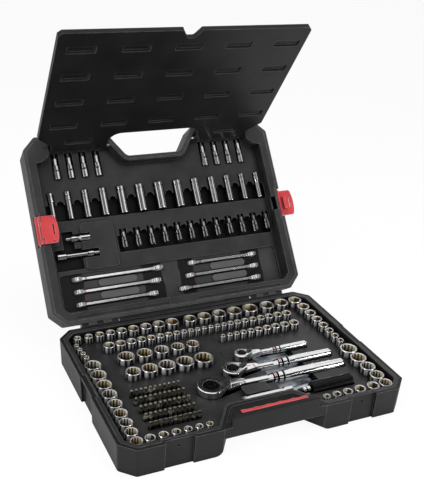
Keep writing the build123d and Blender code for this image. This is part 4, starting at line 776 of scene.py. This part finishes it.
def white_floor():
    """Nearly white to the camera, with a faint shadow left in it, and a plain pale floor to other rays."""
    s = Shader("floor_white")
    s.colour(s.ramp(s.noise(3.0), (0.0, (0.9, 0.9, 0.9)), (1.0, (0.94, 0.94, 0.94))))
    s.set(Roughness=0.9)
    glow = s.tree.nodes.new("ShaderNodeEmission")
    glow.inputs["Strength"].default_value = 1.0
    mix = s.tree.nodes.new("ShaderNodeMixShader")
    path = s.tree.nodes.new("ShaderNodeLightPath")
    s.link(s.math("MULTIPLY", path.outputs["Is Camera Ray"], FLOOR_GLOW), mix.inputs[0])
    s.link(s.bsdf.outputs[0], mix.inputs[1])
    s.link(glow.outputs[0], mix.inputs[2])
    s.link(mix.outputs[0], s.tree.nodes["Material Output"].inputs["Surface"])
    return s.mat


bpy.ops.mesh.primitive_plane_add(size=FLOOR_SIZE, location=(0, 0, FLOOR_HEIGHT))
floor = bpy.context.object
floor.name = "floor"
floor.data.materials.append(white_floor())


def background(tree, colour, strength):
    """A plain light from all round."""
    node = tree.nodes.new("ShaderNodeBackground")
    node.inputs["Color"].default_value = (*colour, 1)
    node.inputs["Strength"].default_value = strength
    return node.outputs[0]


def studio_world():
    """White to the camera, to reflections and through clear pieces, and a softer light for the rest."""
    world = bpy.data.worlds.new("studio")
    world.use_nodes = True
    tree = world.node_tree
    tree.nodes.clear()
    path = tree.nodes.new("ShaderNodeLightPath")
    seen = path.outputs["Is Camera Ray"]
    for ray in ("Is Glossy Ray", "Is Transmission Ray"):
        either = tree.nodes.new("ShaderNodeMath")
        either.operation = "MAXIMUM"
        tree.links.new(seen, either.inputs[0])
        tree.links.new(path.outputs[ray], either.inputs[1])
        seen = either.outputs[0]
    mix = tree.nodes.new("ShaderNodeMixShader")
    tree.links.new(seen, mix.inputs[0])
    tree.links.new(background(tree, (0.95, 0.97, 1), SKY_STRENGTH), mix.inputs[1])
    tree.links.new(background(tree, (1, 1, 1), 1.0), mix.inputs[2])
    out = tree.nodes.new("ShaderNodeOutputWorld")
    tree.links.new(mix.outputs[0], out.inputs["Surface"])
    return world


scene.world = studio_world()


def aim(obj, place, target):
    """Put a lamp or card at a place, facing a target."""
    obj.location = place
    obj.rotation_euler = (Vector(target) - Vector(place)).to_track_quat("-Z", "Y").to_euler()


def lamp(name, place, target, size, power, mirrored=False):
    """A rectangular lamp, which reflections show only if it is mirrored."""
    data = bpy.data.lights.new(name, "AREA")
    data.shape = "RECTANGLE"
    data.size, data.size_y = size
    data.energy = power
    obj = bpy.data.objects.new(name, data)
    obj.visible_glossy = mirrored
    scene.collection.objects.link(obj)
    aim(obj, place, target)


lamp("key", (-1.3, -0.9, 1.7), STUDIO_MIDDLE, size=(1.2, 1.2), power=24)
lamp("top", (0.3, 0.1, 2.0), STUDIO_MIDDLE, size=(1.6, 1.2), power=16)
lamp("fill", (1.6, -1.2, 0.9), (0, 0.1, 0.15), size=(1.0, 1.4), power=15)
lamp("strip_left", (-1.5, -0.5, 0.35), STRIP_TARGET, size=(0.18, 0.6), power=7, mirrored=True)
lamp("strip_right", (1.1, -1.4, 0.35), STRIP_TARGET, size=(0.18, 0.6), power=7, mirrored=True)


def black_card():
    """Dull black with next to no shine."""
    s = Shader("card_black")
    s.colour(s.ramp(s.noise(2.0), (0.3, (0.004, 0.004, 0.004)), (0.7, (0.010, 0.010, 0.010))))
    s.set(Roughness=1.0, Specular_IOR_Level=0.0)
    return s.mat


def card(name, azimuth, width, mat):
    """A dark card that only mirrors see, so that the chrome has something black to show."""
    bpy.ops.mesh.primitive_grid_add(x_subdivisions=4, y_subdivisions=4, size=1)
    obj = bpy.context.object
    obj.name = name
    a = math.radians(azimuth)
    e = math.radians(CARD_ELEVATION)
    place = Vector((math.cos(a) * math.cos(e), math.sin(a) * math.cos(e), math.sin(e))) * CARD_DISTANCE
    obj.scale = (width, CARD_HEIGHT, 1)
    aim(obj, place, STUDIO_MIDDLE)
    obj.data.materials.append(mat)
    obj.visible_camera = False
    obj.visible_diffuse = False
    obj.visible_shadow = False


card_black = black_card()
for number, (azimuth, width) in enumerate(CARDS):
    card(f"card_{number}", azimuth, width, card_black)

# Camera at the photograph's view
yaw, pitch, roll = (math.radians(angle) for angle in CAMERA_TURN)
turn = Matrix.Rotation(yaw, 3, "Z") @ Matrix.Rotation(pitch, 3, "X") @ Matrix.Rotation(roll, 3, "Y")
right, forward, up = turn.col[0], turn.col[1], turn.col[2]
data = bpy.data.cameras.new("camera")
data.sensor_fit = "VERTICAL"
data.sensor_height = SENSOR_HEIGHT
data.lens = FOCAL_PIXELS * SENSOR_HEIGHT / PHOTO_HEIGHT
data.clip_end = 50
camera = bpy.data.objects.new("camera", data)
scene.collection.objects.link(camera)
axes = Matrix((right, up, -forward)).transposed().to_4x4()
axes.translation = Vector(CAMERA_PLACE)
camera.matrix_world = axes
scene.camera = camera

scene.view_settings.view_transform = "Standard"
